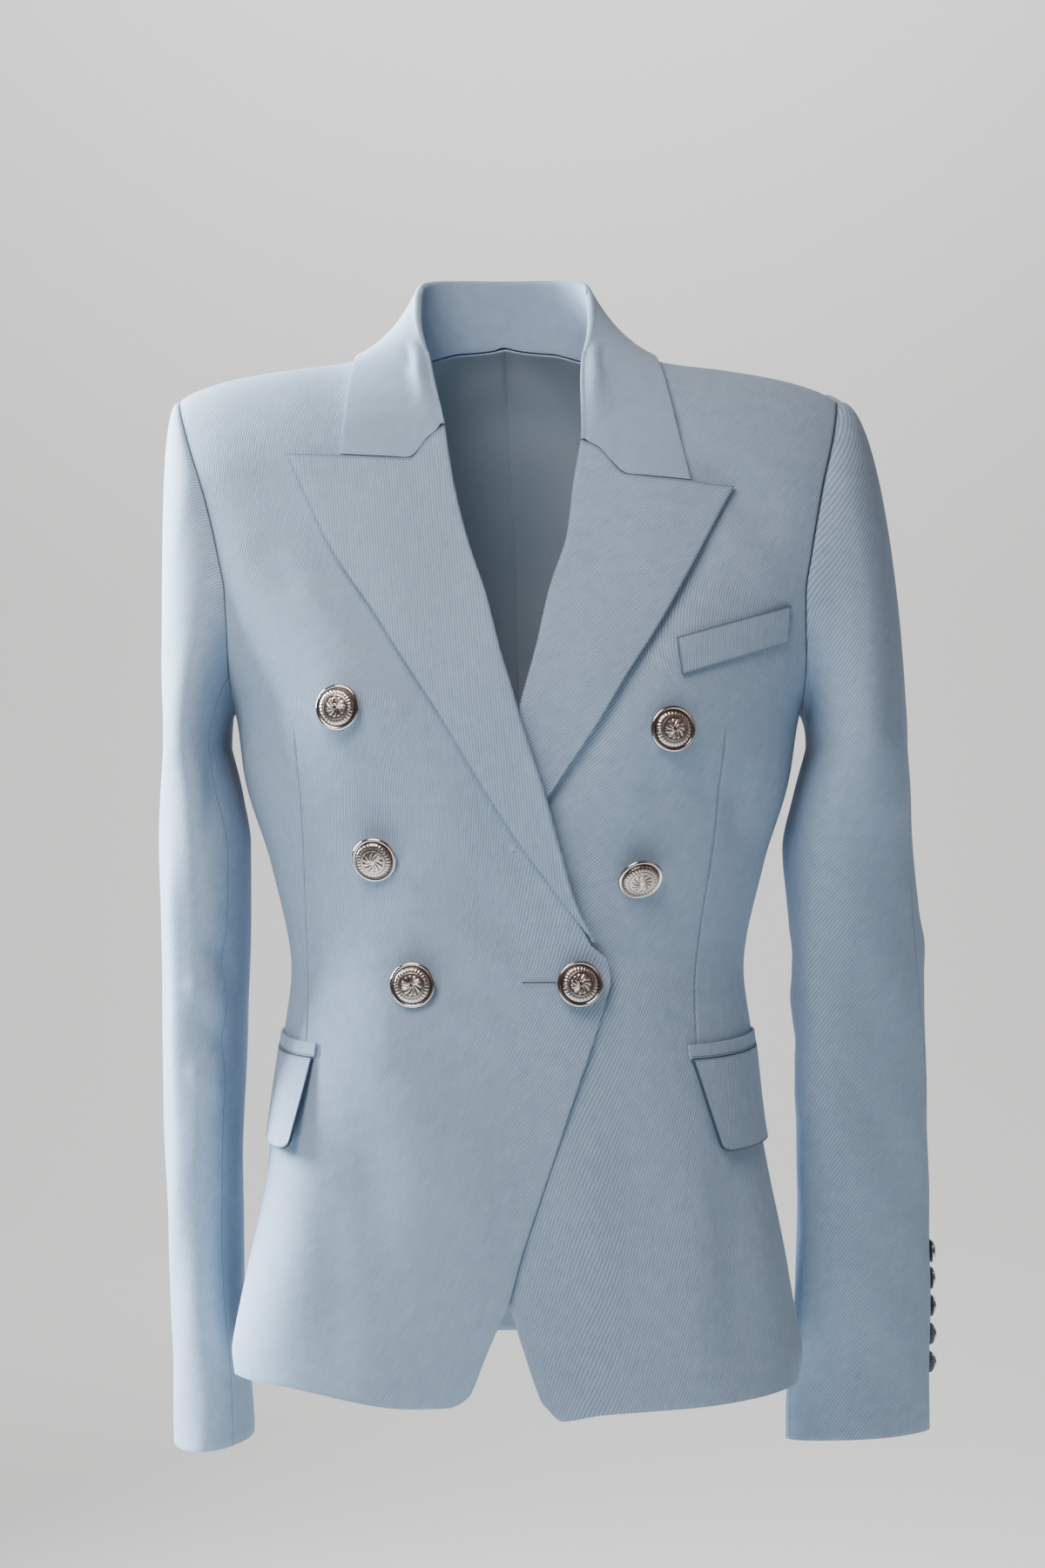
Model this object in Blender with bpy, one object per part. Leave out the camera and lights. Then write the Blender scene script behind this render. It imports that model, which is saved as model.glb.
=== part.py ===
"""A women's double-breasted blazer with peak lapels, hollow and open, filled out as it is worn.

+Z is up and the front faces -Y. The origin lies midway between the shoulder seams' neck ends.
Every size and table below is in millimetres, and points become metres when a mesh is made.
Side -1 is the viewer's left, whose front is the top layer. Side +1 is the under layer.
"""
import math

import bmesh
import bpy
from mathutils import Vector

MM = 0.001

# Cloth and seams
WALL = 1.6              # one cloth layer with its interfacing
SEAM = 0.4              # the gap between two panels at a seam
REST = 0.45             # the gap under a piece that lies on a panel
UNDER_RAISE = 2.1       # how far the top front stands out over the under front
LAPEL_RAISE = 3.4       # how much further it stands out over the under lapel
CLOTH_COLOUR = (0.34, 0.47, 0.60, 1.0)
METAL_COLOUR = (0.62, 0.61, 0.60, 1.0)

# The body as worn: height, half width, depth to the front, depth to the back, middle of the depth
BODY = sorted([
    (20, 226, 78, 90, 0), (-30, 222, 84, 96, 0), (-80, 214, 96, 106, 0), (-130, 205, 109, 112, 0),
    (-180, 184, 120, 108, 0), (-215, 168, 123, 102, 0), (-255, 161, 118, 95, -2),
    (-305, 146, 108, 89, -5), (-365, 134, 99, 87, -9), (-400, 138, 98, 93, -12),
    (-470, 145, 98, 114, -20), (-550, 160, 96, 136, -30), (-600, 169.5, 96, 148, -36),
    (-620, 172, 96, 150, -38),
])
# How square the outline is: height, exponent in front, exponent behind
FULLNESS = sorted([(0, 2.35, 2.2), (-215, 2.35, 2.2), (-400, 2.3, 2.1), (-600, 2.3, 2.0)])
# Sideways lean of the worn shoulders: height, shift
LEAN = sorted([(60, -9), (-25, -6), (-60, -4), (-120, -2), (-200, 0), (-300, 0)])
# The shoulder ridge: distance from the centre, height
RIDGE = [(0, 30), (30, 21), (50, 7), (62, 0), (86, -4), (98, -6.5), (131, -10.5), (163, -16),
         (179, -20.5), (190, -25), (197, -30)]
RIDGE_Y = 5
ROUND = 65              # radius over which the shoulder turns down
# Armhole seam: height, distance from the centre
ARMHOLE = sorted([(-20, 198), (-30, 195), (-45, 191), (-64, 185.5), (-80, 180.5), (-98, 176),
                  (-125, 170.5), (-148, 167), (-165, 167), (-182, 167.5), (-200, 168), (-215, 168)])
ARMPIT = -215
BUST = {"out": 85, "height": -205, "spread": 42, "rise": 8}
FRONT_SEAM = 77         # degrees round from the centre front to the side panel
BACK_SEAM = 124         # degrees round from the centre front to the back panel
NECK = 62               # half width of the back neck
NECK_ROLL = 44          # degrees down the back at which the neckline crosses the centre

# Front edges, outward from x = 0 on the panel's own side: neck seam, roll line, then the open front
TOP_EDGE = sorted([(0, 68), (-30, 57), (-53, 42), (-85, 36), (-115, 29), (-149, 18), (-182, 10),
                   (-205, 4), (-216, -1), (-262, -16), (-286, -22.5), (-326, -34), (-348, -45),
                   (-358, -50), (-368, -51.5), (-379.5, -49), (-400, -43), (-438.5, -30),
                   (-483, -15), (-523.5, -1.5), (-544, 4), (-575, 17), (-596, 25.5), (-604, 30)])
UNDER_EDGE = sorted([(0, 56), (-30, 46), (-62, 37), (-84, 32), (-111.5, 29), (-135, 23.5),
                     (-151, 17), (-179, 10), (-207, 3), (-262, -14), (-300, -26), (-340, -42),
                     (-358, -51), (-370, -57), (-400, -49), (-450, -34), (-500, -19), (-546, -5),
                     (-574, 4), (-597, 12), (-606, 16)])
# Hems: distance out from x = 0, height. The first rows round the corner.
TOP_HEM = [(25.5, -594), (29, -601), (36, -604), (64, -605), (95, -602), (115, -599), (139, -597),
           (172, -597)]
UNDER_HEM = [(12, -600), (16, -607), (22, -611), (46, -608), (71, -607), (103, -606), (136, -604),
             (172, -600)]
SIDE_HEM = -598
BACK_HEM = -602

# Lapels: share of the way down, roll line x and z, outer edge x and z (x outward on the own side)
TOP_LAPEL = [
    (0.00, 41, -53, 131, -69), (0.09, 36, -85, 122, -90), (0.20, 28, -118, 104, -126),
    (0.32, 17.5, -151, 81, -160), (0.43, 9.5, -183, 64, -187), (0.54, -1, -216, 43, -219),
    (0.70, -16, -262, 16, -263), (0.80, -23, -288, -3, -292), (0.90, -33, -324, -24, -321),
    (0.97, -43, -345, -37, -339),
]
UNDER_LAPEL = [
    (0.00, 36, -62, 124, -87), (0.09, 31.5, -88, 113, -106), (0.20, 28, -116, 97, -136),
    (0.32, 18, -147, 79, -168), (0.43, 10.5, -180, 61, -196), (0.54, 3, -207, 46, -221),
    (0.70, -13, -259, 20, -260), (0.80, -23, -290, 1, -290), (0.90, -36, -326, -18, -318),
    (0.97, -46, -350, -38, -340),
]
# The seam between lapel and collar, bent: share of the width, x and z
TOP_GORGE = [(0.0, 41, -53), (0.13, 51.5, -62), (0.25, 61, -73), (0.62, 100, -71), (1.0, 131, -69)]
UNDER_GORGE = [(0.0, 36, -62), (0.13, 46, -67), (0.27, 61, -82), (0.66, 98, -85), (1.0, 124, -87)]
LAPEL_ROLL = 1.3        # inside gap of the fold at the roll line
LAPEL_PUFF = {-1: 2.6, 1: 1.6}  # how far the broad part bows off the chest
# Collar, from the gorge to the centre back: place along the neck seam, roll line out, back and up,
# outer edge out, degrees down from the shoulder ridge (plus in front, minus behind)
COLLAR = [
    (0.00, 37, -84, -54, 96, 84), (0.14, 40, -64, -34, 92, 56), (0.30, 44, -36, -9, 89, 32),
    (0.45, 50, -8, 17, 86, 4), (0.58, 51, 16, 37, 80, -22), (0.70, 49, 36, 47, 64, -40),
    (0.82, 38, 50, 51, 44, -53), (0.92, 20, 57, 52, 22, -62), (1.00, 0, 59, 52, 0, -65),
]
COLLAR_WALL = 2.0
GORGE_TOP = {-1: -53, 1: -62}
GORGE_GAP = 0.7         # between the collar's end and the lapel's top
STAND_GAP = 2.7         # from the panels' neck edge to the middle of the stand's edge
FALL_BOW = 2.0          # how far the fall bows out
FALL_SHARES = (0.21, 0.4, 0.71, 1.0)
FALL_EASE = 3.2         # more of FALL_CLEAR near the roll line
COLLAR_FOLD = 2.3       # radius of the middle of the fold at the roll line
FALL_CLEAR = 2.6        # the middle of the collar's fall, over the cloth under it
GORGE_TUCK = 3.0        # how much further back the front's edge lies where lapel and collar meet
ROLL_GAP = 1.7          # between a front's own edge and the end of its folded lapel

# Sleeves, below the cap: height, inner side, outer side, depth centre, half depth, lean of the
# section in degrees, turn of the cloth round the section in degrees
LEFT_SLEEVE = sorted([
    (-236, 172, 211, 3, 74, -2, -14), (-265, 164, 213, 5, 70, -4, -14), (-293, 159, 214, 8, 68, -6, -14),
    (-350, 160.5, 215, 16, 64, -8, -14), (-425, 163.5, 216, 28, 60, -10, -14),
    (-486, 166, 215.5, 37, 58, -12, -14), (-530, 167, 215, 44, 57, -12, -14),
    (-570, 166, 213, 49, 56, -12, -14), (-611, 163.5, 211.5, 53, 55.5, -12, -14),
    (-650, 161, 211.5, 56, 55.5, -12, -14),
])
RIGHT_SLEEVE = sorted([
    (-236, 172, 232.5, 2, 69, -4, 22), (-265, 163.5, 236, 6, 66, -10, 42),
    (-293, 158, 239.5, 11, 61, -18, 54), (-330, 160.5, 244, 17, 57, -25, 60),
    (-380, 163.5, 249, 26, 53, -32, 56), (-430, 166, 252, 35, 49, -38, 46),
    (-480, 168, 254.5, 43, 46, -43, 32), (-530, 168, 256, 50, 42, -48, 20),
    (-580, 166, 257, 55, 40, -52, 10), (-620, 163.5, 257.5, 58, 38.5, -54, 4),
    (-656, 162.5, 257.7, 59, 38, -55, 0),
])
SLEEVES = {-1: LEFT_SLEEVE, 1: RIGHT_SLEEVE}
HEAD_OUT = {-1: 52, 1: 88}      # how far the sleeve head swells past the shoulder seam
CUFF_SLANT = {-1: 4, 1: 3.5}    # half the rise of the cuff's edge from the outer to the inner side
CAP_ROWS = 6
SLEEVE_ROWS = [-236, -255, -276, -300, -326, -356, -392, -432, -474, -518, -562, -608, -656]
FORE_SEAM = {-1: 0.40, 1: 0.45}  # share of the way round at the fore-arm seam
HIND_SEAM = 0.93                # and at the hind-arm seam

# Pockets: degrees round the body and heights
POCKET_FROM = {-1: 53.5, 1: 41.5}
POCKET_TO = {-1: 122, 1: 113}
JET = {"top": -405.5, "bottom": -412, "rise": 4}
FLAP = {"inset": 1, "top": -414, "bottom": -467, "slant": 6.5, "wall": 2.0}
FLAP_LIFT = {-1: 7.0, 1: 1.6}
WELT = [(89, -175, 92, -196), (156, -155, 154.5, -176)]

# Front buttons: side, x, z, tilt sideways, tilt down, and the shank over the smooth face, which the
# flat facets lie a little under on the bust and over at the waist
BUTTON_PROFILE = [(0, 0), (0.22, 0), (0.22, 0.30), (0.90, 0.36), (1.0, 0.52), (1.0, 0.66), (0.88, 0.72),
                  (0.45, 0.93), (0, 1.0)]
CUFF_PROFILE = [(0, 0), (0.3, 0), (0.3, 0.3), (1.0, 0.45), (0.9, 0.75), (0, 1.0)]
FRONT_BUTTON = {"radius": 12.7, "height": 8.2, "turns": 18, "profile": BUTTON_PROFILE}
FRONT_BUTTONS = [
    ("front_button_top_left", -1, -98.5, -214, 8, 6, 0.1),
    ("front_button_middle_left", -1, -79, -298, 8, -6, 0.9),
    ("front_button_low_left", -1, -57, -370, 6, -4, 0.6),
    ("front_button_fastened", -1, 34, -369.5, 0, 2, 0.5),
    ("front_button_top_right", 1, 86, -226, -6, 8, 0.1),
    ("front_button_middle_right", 1, 68, -308, 0, -22, 0.5),
]
CUFF_BUTTON = {"radius": 7.5, "height": 5.4, "turns": 10, "profile": CUFF_PROFILE}
CUFF_BUTTON_HEIGHTS = [-548, -565, -582, -599, -616]
CUFF_BUTTON_SHARE = {-1: 0.93, 1: 0.955}

SEAM_TURN = 0.14        # half the gap at a seam, in degrees round the body
LOWER_ROWS = 16


def read(table, at, column=1):
    """The value of a table's column, eased between its rows with no overshoot."""
    if at <= table[0][0]:
        return table[0][column]
    if at >= table[-1][0]:
        return table[-1][column]
    row = 0
    while at > table[row + 1][0]:
        row += 1

    def slope(k):
        return (table[k + 1][column] - table[k][column]) / (table[k + 1][0] - table[k][0])

    def tangent(k):
        if k == 0 or k == len(table) - 1:
            return slope(min(k, len(table) - 2))
        before, after = slope(k - 1), slope(k)
        return 0 if before * after <= 0 else 2 * before * after / (before + after)

    step = table[row + 1][0] - table[row][0]
    t = (at - table[row][0]) / step
    start, end = table[row][column], table[row + 1][column]
    return (start * (1 + 2 * t) * (1 - t) ** 2 + end * t * t * (3 - 2 * t)
            + step * (tangent(row) * t * (1 - t) ** 2 - tangent(row + 1) * t * t * (1 - t)))


def mix(a, b, t):
    return a + (b - a) * t


def ease(t):
    """0 below 0, 1 above 1 and a smooth step between."""
    t = min(1, max(0, t))
    return t * t * (3 - 2 * t)


def power(value, exponent):
    return math.copysign(abs(value) ** exponent, value)


def outline(turn, z):
    """Distance out and depth of the body's outline, turn degrees round from the centre front."""
    half, front, back, middle = (read(BODY, z, k) for k in (1, 2, 3, 4))
    across, along = math.sin(math.radians(turn)), math.cos(math.radians(turn))
    n = read(FULLNESS, z, 1 if along > 0 else 2)
    depth = -front if along > 0 else back
    return half * power(across, 2 / n), middle + depth * abs(along) ** (2 / n)


def turn_at(side, x, z, behind=False):
    """The degrees round the body of the point at x, on its own side's front or back."""
    out = side * (x - read(LEAN, z)) / read(BODY, z)
    n = read(FULLNESS, z, 2 if behind else 1)
    turn = math.degrees(math.asin(max(-1, min(1, power(out, n / 2)))))
    return 180 - turn if behind else turn


def drop_at(turn, z):
    """How far down the cloth a height lies, measured over the shoulder's round from its ridge."""
    fall = read(RIDGE, abs(outline(turn, z)[0])) - z
    if fall < ROUND:
        return ROUND * math.acos(1 - max(0, fall) / ROUND)
    return ROUND * math.pi / 2 + fall - ROUND


def height_at(turn, drop):
    """The height of a place that lies this far down the cloth."""
    if drop < ROUND * math.pi / 2:
        fall = ROUND * (1 - math.cos(drop / ROUND))
    else:
        fall = drop - ROUND * (math.pi / 2 - 1)
    z = -fall
    for _ in range(7):
        z = read(RIDGE, abs(outline(turn, z)[0])) - fall
    return z


def cloth(side, turn, drop):
    """A point of the body's outer cloth."""
    z = height_at(turn, drop)
    out, y = outline(turn, z)
    y = RIDGE_Y + (y - RIDGE_Y) * math.sin(min(math.pi / 2, drop / ROUND))
    if turn < 90:
        away = ((abs(out) - BUST["out"]) ** 2 + (z - BUST["height"]) ** 2) / BUST["spread"] ** 2
        y -= BUST["rise"] * math.exp(-away / 2)
    return Vector((read(LEAN, z) + side * out, y, z))


def body_normal(side, turn, drop):
    across = cloth(side, turn + 0.4, drop) - cloth(side, turn - 0.4, drop)
    down = cloth(side, turn, drop + 0.6) - cloth(side, turn, drop - 0.6)
    return (down.cross(across) * side).normalized()


def raised(side, turn, z):
    """How far the top front stands out where it lies over the other front."""
    if side > 0 or turn > 60:
        return 0
    x = -outline(turn, z)[0] + read(LEAN, z)
    over = ease((x - read(UNDER_EDGE, z) + 62) / 50)
    lapel = ease((z + 434) / 70)
    return over * (UNDER_RAISE + LAPEL_RAISE * lapel)


def on_drop(side, turn, drop, out=0.0):
    z = height_at(turn, drop)
    lift = out + raised(side, turn, z)
    return cloth(side, turn, drop) + body_normal(side, turn, drop) * lift


def on_body(side, turn, z, out=0.0):
    """The point at a height, turn degrees round, out from the panel's face."""
    return on_drop(side, turn, drop_at(turn, z), out)


def on_front(side, x, z, out=0.0):
    return on_body(side, turn_at(side, x, z), z, out)


def sheet(name, outer, inner, material):
    """Closes two grids of points into one wall with four rims."""
    rows, columns = len(outer), len(outer[0])
    shape = bmesh.new()
    faces = [[shape.verts.new(p * MM) for row in grid for p in row] for grid in (outer, inner)]

    def skin(points, flip):
        for r in range(rows - 1):
            for c in range(columns - 1):
                k = r * columns + c
                quad = [points[k], points[k + 1], points[k + columns + 1], points[k + columns]]
                shape.faces.new(quad[::-1] if flip else quad)

    skin(faces[0], False)
    skin(faces[1], True)
    rim = ([c for c in range(columns)] + [r * columns + columns - 1 for r in range(1, rows)]
           + [(rows - 1) * columns + c for c in range(columns - 2, -1, -1)]
           + [r * columns for r in range(rows - 2, 0, -1)])
    for a, b in zip(rim, rim[1:] + rim[:1]):
        shape.faces.new((faces[0][b], faces[0][a], faces[1][a], faces[1][b]))
    bmesh.ops.recalc_face_normals(shape, faces=shape.faces)
    return add_object(name, shape, material)


def add_object(name, shape, material):
    mesh = bpy.data.meshes.new(name)
    shape.to_mesh(mesh)
    shape.free()
    mesh.shade_smooth()
    mesh.set_sharp_from_angle(angle=math.radians(40))
    mesh.materials.append(material)
    item = bpy.data.objects.new(name, mesh)
    bpy.context.scene.collection.objects.link(item)
    return item


def paint(name, colour, roughness, metallic=0.0):
    material = bpy.data.materials.new(name)
    material.use_nodes = True
    shader = material.node_tree.nodes["Principled BSDF"]
    shader.inputs["Base Color"].default_value = colour
    shader.inputs["Roughness"].default_value = roughness
    shader.inputs["Metallic"].default_value = metallic
    return material


# Panels of the body
def armhole_turn(z, behind):
    out = read(ARMHOLE, z) / read(BODY, z)
    n = read(FULLNESS, z, 2 if behind else 1)
    turn = math.degrees(math.asin(min(1, out ** (n / 2))))
    return 180 - turn if behind else turn


def armhole_height(turn):
    """The height at which the armhole's lower curve crosses a place round the body."""
    behind = turn > 90
    low, high = ARMPIT, (-100 if not behind else -110)
    for _ in range(30):
        middle = (low + high) / 2
        inside = armhole_turn(middle, behind) > turn if not behind else armhole_turn(middle, behind) < turn
        low, high = (middle, high) if inside else (low, middle)
    return low


def front_panel(side, edge, hem, material, name):
    """One front, from its neck, roll line and open edge round to the side panel."""
    columns = [0, 0.035, 0.1, 0.19, 0.29, 0.39, 0.49, 0.59, 0.69, 0.79, 0.9, 1]
    corner = armhole_height(FRONT_SEAM)
    fold = LAPEL_ROLL / 2 + WALL + ROLL_GAP
    top_roll, low_roll = (-6, -354) if side < 0 else (-10, -378)

    def near(z):
        inset = fold * ease((top_roll - z) / 18) * ease((z - low_roll) / 6)
        inset += GORGE_TUCK * math.exp(-((z - GORGE_TOP[side]) / 16) ** 2)
        return turn_at(side, side * (read(edge, z) + inset), z)

    def far(z):
        turn = FRONT_SEAM if z < corner else min(FRONT_SEAM, armhole_turn(z, False))
        return turn - SEAM_TURN

    def place(c, z):
        return mix(near(z), far(z), c)

    rows = []
    for share in (0.008, 0.2, 0.4, 0.6, 0.8):
        drop = share * ROUND * math.pi / 2
        row = []
        for c in columns:
            turn = place(c, 0)
            for _ in range(6):
                turn = place(c, height_at(turn, drop))
            row.append((turn, drop))
        rows.append(row)
    arc_end = ROUND * math.pi / 2
    starts = []
    for c in columns:
        turn = place(c, 0)
        for _ in range(6):
            turn = place(c, height_at(turn, arc_end))
        starts.append(height_at(turn, arc_end))

    def foot(c):
        out = side * cloth(side, place(c, SIDE_HEM), drop_at(place(c, SIDE_HEM), SIDE_HEM)).x
        return read(hem, out)

    upper, lower = 6, LOWER_ROWS
    for k in range(upper + lower + 1):
        row = []
        for c, start in zip(columns, starts):
            z = mix(start, corner, k / upper) if k <= upper else mix(corner, foot(c), (k - upper) / lower)
            turn = place(c, z)
            row.append((turn, drop_at(turn, z)))
        rows.append(row)
    return panel(name, side, rows, material)


def panel(name, side, rows, material):
    outer = [[on_drop(side, turn, drop) for turn, drop in row] for row in rows]
    inner = [[on_drop(side, turn, drop, -WALL) for turn, drop in row] for row in rows]
    sheet(name, outer, inner, material)
    return outer


def side_panel(side, material, name):
    columns = 6
    rows = []
    for k in range(LOWER_ROWS + 1):
        row = []
        for c in range(columns + 1):
            turn = mix(FRONT_SEAM + SEAM_TURN, BACK_SEAM - SEAM_TURN, c / columns)
            hem = mix(SIDE_HEM, BACK_HEM, c / columns)
            z = mix(armhole_height(turn), hem, k / LOWER_ROWS)
            row.append((turn, drop_at(turn, z)))
        rows.append(row)
    return panel(name, side, rows, material)


def neck_share(out):
    return math.sqrt(max(0, 1 - (out / NECK) ** 2))


def back_panel(side, material, name):
    """One back, from the centre back seam to the armhole and the side panel."""
    corner = armhole_height(BACK_SEAM)

    def far(z):
        turn = BACK_SEAM if z < corner else max(BACK_SEAM, armhole_turn(z, True))
        return turn + SEAM_TURN

    def place(c, z):
        return mix(179.9, far(z), c)

    low, high = 0.0, 1.0
    for _ in range(30):
        neck = (low + high) / 2
        low, high = (neck, high) if outline(place(neck, 0), 0)[0] < NECK else (low, neck)
    columns = [neck * k / 3 for k in range(3)] + [mix(neck, 1, k / 5) for k in range(6)]
    arc_end = ROUND * math.pi / 2

    def settle(c, drop):
        turn = place(c, 0)
        for _ in range(6):
            turn = place(c, height_at(turn, drop))
        return turn

    rows = []
    for share in (0.0, 0.2, 0.4, 0.6, 0.8):
        row = []
        for c in columns:
            out = outline(place(c, 0), 0)[0]
            first = mix(0.008, NECK_ROLL / 90, neck_share(out)) if out < NECK else 0.008
            drop = arc_end * mix(first, 1, share)
            row.append((settle(c, drop), drop))
        rows.append(row)
    starts = [height_at(settle(c, arc_end), arc_end) for c in columns]
    upper, lower = 4, LOWER_ROWS
    for k in range(upper + lower + 1):
        row = []
        for c, start in zip(columns, starts):
            z = mix(start, corner, k / upper) if k <= upper else mix(corner, BACK_HEM, (k - upper) / lower)
            turn = place(c, z)
            row.append((turn, drop_at(turn, z)))
        rows.append(row)
    return panel(name, side, rows, material)


# Lapels and collar
def lapel(side, table, gorge, material, name):
    """A peak lapel, folded over at the roll line so that its end meets the front's own edge."""
    fold = LAPEL_ROLL / 2 + WALL
    shares = [0, 0.045, 0.09, 0.145, 0.2, 0.26, 0.32, 0.375, 0.43, 0.485, 0.54, 0.62, 0.7, 0.75, 0.8, 0.85,
              0.9, 0.94, 0.97]
    across = [0.13, 0.25, 0.44, 0.62, 0.82, 1.0]
    puff = LAPEL_PUFF[side]
    outer, inner = [], []
    for s in shares:
        roll = Vector((read(table, s, 1), read(table, s, 2)))
        edge = Vector((read(table, s, 3), read(table, s, 4)))
        width = (edge - roll).length
        aim = (edge - roll) / width
        bend = (1 - ease(s / 0.09)) if s < 0.09 else 0

        def place(distance, out):
            t = distance / width
            spot = roll + aim * distance
            if bend and t > 0:
                spot += bend * (Vector((read(gorge, t, 1), read(gorge, t, 2)))
                                - (Vector(gorge[0][1:]).lerp(Vector(gorge[-1][1:]), t)))
            return on_front(side, side * spot.x, spot.y, out)

        def gap(t):
            bow = puff * math.sin(math.pi * min(1, t)) * (1 - ease(s / 0.75))
            return REST + (LAPEL_ROLL - REST) * (1 - ease(t * 3)) + bow

        face, under = [], []
        for angle in (-90, -135, 180, 135, 90):
            c, r = math.cos(math.radians(angle)), math.sin(math.radians(angle))
            face.append(place(fold + fold * c, LAPEL_ROLL / 2 + fold * r))
            under.append(place(fold + LAPEL_ROLL / 2 * c, LAPEL_ROLL / 2 + LAPEL_ROLL / 2 * r))
        for step, t in enumerate(across):
            distance = max(t * width, fold * (1.2 + 0.25 * step))
            t = distance / width
            face.append(place(distance, gap(t) + WALL))
            under.append(place(distance, gap(t)))
        outer.append(face)
        inner.append(under)
    sheet(name, outer, inner, material)


def neck_place(edge, share, side):
    """Degrees round and distance down of a point of the neck seam, from the gorge to the centre back."""
    turning = COLLAR[3][0]
    if share < turning:
        z = mix(GORGE_TOP[side], 0, share / turning)
        turn = turn_at(side, side * read(edge, z), z)
        return turn, drop_at(turn, z)
    out = NECK * math.cos((share - turning) / (1 - turning) * math.pi / 2)
    drop = ROUND * math.radians(NECK_ROLL) * neck_share(out)
    return settle_turn(out, drop, True), drop


def settle_turn(out, drop, behind):
    """The degrees round at which a place this far down the cloth lies this far out."""
    turn = 160 if behind else 20
    for _ in range(8):
        z = height_at(turn, drop)
        turn = turn_at(1, out + read(LEAN, z), z, behind)
    return turn


def collar_section(side, edge, gorge, row):
    share, roll_out, roll_y, roll_z, edge_out, edge_roll = row
    roll = Vector((read(LEAN, roll_z) + side * roll_out, roll_y, roll_z))
    neck_turn, neck_drop = neck_place(edge, share, side)
    neck = on_drop(side, neck_turn, neck_drop, -WALL / 2)
    behind = edge_roll < 0
    rim_drop = ROUND * math.radians(abs(edge_roll))
    rim_turn = settle_turn(edge_out, rim_drop, behind)
    if neck_turn > 90 and not behind:
        neck_turn = 180 - neck_turn
    rim = on_drop(side, rim_turn, rim_drop, FALL_CLEAR)
    seam = neck + (roll - neck).normalized() * STAND_GAP
    outward = Vector((roll.x - read(LEAN, 0), roll.y, 0)).normalized()
    if share == 0:
        outward = body_normal(side, neck_turn, neck_drop)
        roll = on_front(side, side * gorge[0][1], gorge[0][2] + GORGE_GAP, 0.6)
        seam = on_front(side, side * (gorge[0][1] + 2.6), gorge[0][2] + GORGE_GAP + 1, -WALL / 2)
        rim = on_front(side, side * gorge[3][1], gorge[3][2] + GORGE_GAP, FALL_CLEAR)
    tip = -((seam - roll).normalized() + (rim - roll).normalized())
    tip.normalize()
    across = (outward - tip * outward.dot(tip)).normalized()
    centre = roll - tip * (COLLAR_FOLD + COLLAR_WALL / 2)
    line = [seam, seam.lerp(centre - across * COLLAR_FOLD, 0.55)]
    for angle in (180, 135, 90, 45, 0):
        c, s = math.cos(math.radians(angle)), math.sin(math.radians(angle))
        line.append(centre + across * COLLAR_FOLD * c + tip * COLLAR_FOLD * s)
    start = line[-1]
    for t in FALL_SHARES:
        spot = start.lerp(rim, t) + across * FALL_BOW * 4 * t * (1 - t)
        turn, drop = mix(neck_turn, rim_turn, t), mix(neck_drop, rim_drop, t)
        clear = FALL_CLEAR + FALL_EASE * (1 - t) ** 2
        if share == 0:
            x = read(gorge, gorge[3][0] * t, 1)
            z = read(gorge, gorge[3][0] * t, 2) + GORGE_GAP
            turn = turn_at(side, side * x, z)
            drop = drop_at(turn, z)
            spot = on_drop(side, turn, drop, clear)
        normal = body_normal(side, turn, drop)
        depth = (on_drop(side, turn, drop, clear) - spot).dot(normal)
        line.append(spot + normal * max(0, depth))
    return line


def collar(material):
    """Stand, roll and fall in one folded piece, from gorge to gorge round the back neck."""
    stations = []
    for k in range(len(COLLAR) - 1):
        for t in ([0, 0.33, 0.67] if k == 0 else [0, 0.5]):
            share = mix(COLLAR[k][0], COLLAR[k + 1][0], t)
            stations.append(tuple([share] + [read(COLLAR, share, c) for c in range(1, 6)]))
    stations.append(COLLAR[-1])
    left = [collar_section(-1, TOP_EDGE, TOP_GORGE, row) for row in stations]
    right = [collar_section(1, UNDER_EDGE, UNDER_GORGE, row) for row in stations[:-1]]
    for point in left[-1]:
        point.x = read(LEAN, 50)
    grid = left + right[::-1]
    outer, inner = [], []
    for r, line in enumerate(grid):
        before, after = grid[max(0, r - 1)], grid[min(len(grid) - 1, r + 1)]
        face, under = [], []
        for c, point in enumerate(line):
            along = line[min(len(line) - 1, c + 1)] - line[max(0, c - 1)]
            normal = along.cross(after[c] - before[c]).normalized() * (COLLAR_WALL / 2)
            face.append(point + normal)
            under.append(point - normal)
        outer.append(face)
        inner.append(under)
    sheet("collar", outer, inner, material)


# Sleeves
def armhole_loop(front, side_rows, back):
    """The armhole's points, down the front, under the arm and up the back."""
    loop = [row[-1] for row in front]
    corner = next(k for k, row in enumerate(front) if (row[-1] - side_rows[0][0]).length < 2)
    loop = loop[:corner + 1]
    loop += side_rows[0][1:-1]
    rear = [row[-1] for row in back]
    corner = min(range(len(rear)), key=lambda k: (rear[k] - side_rows[0][-1]).length)
    return loop + rear[:corner + 1][::-1]


def section_point(side, z, share):
    """A point of the sleeve's section. Share 0 is the outer side, 0.25 the front, 0.5 the body."""
    table = SLEEVES[side]
    inner, outer, middle, half_depth, tilt, twist = (read(table, z, k) for k in range(1, 7))
    angle = math.radians(360 * share + twist)
    x = (inner + outer) / 2 + (outer - inner) / 2 * math.cos(angle)
    y = middle - half_depth * math.sin(angle + math.radians(tilt))
    rise = CUFF_SLANT[side] * math.cos(angle) * ease((-560 - z) / 80)
    return Vector((side * x, y, z - rise))


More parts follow.
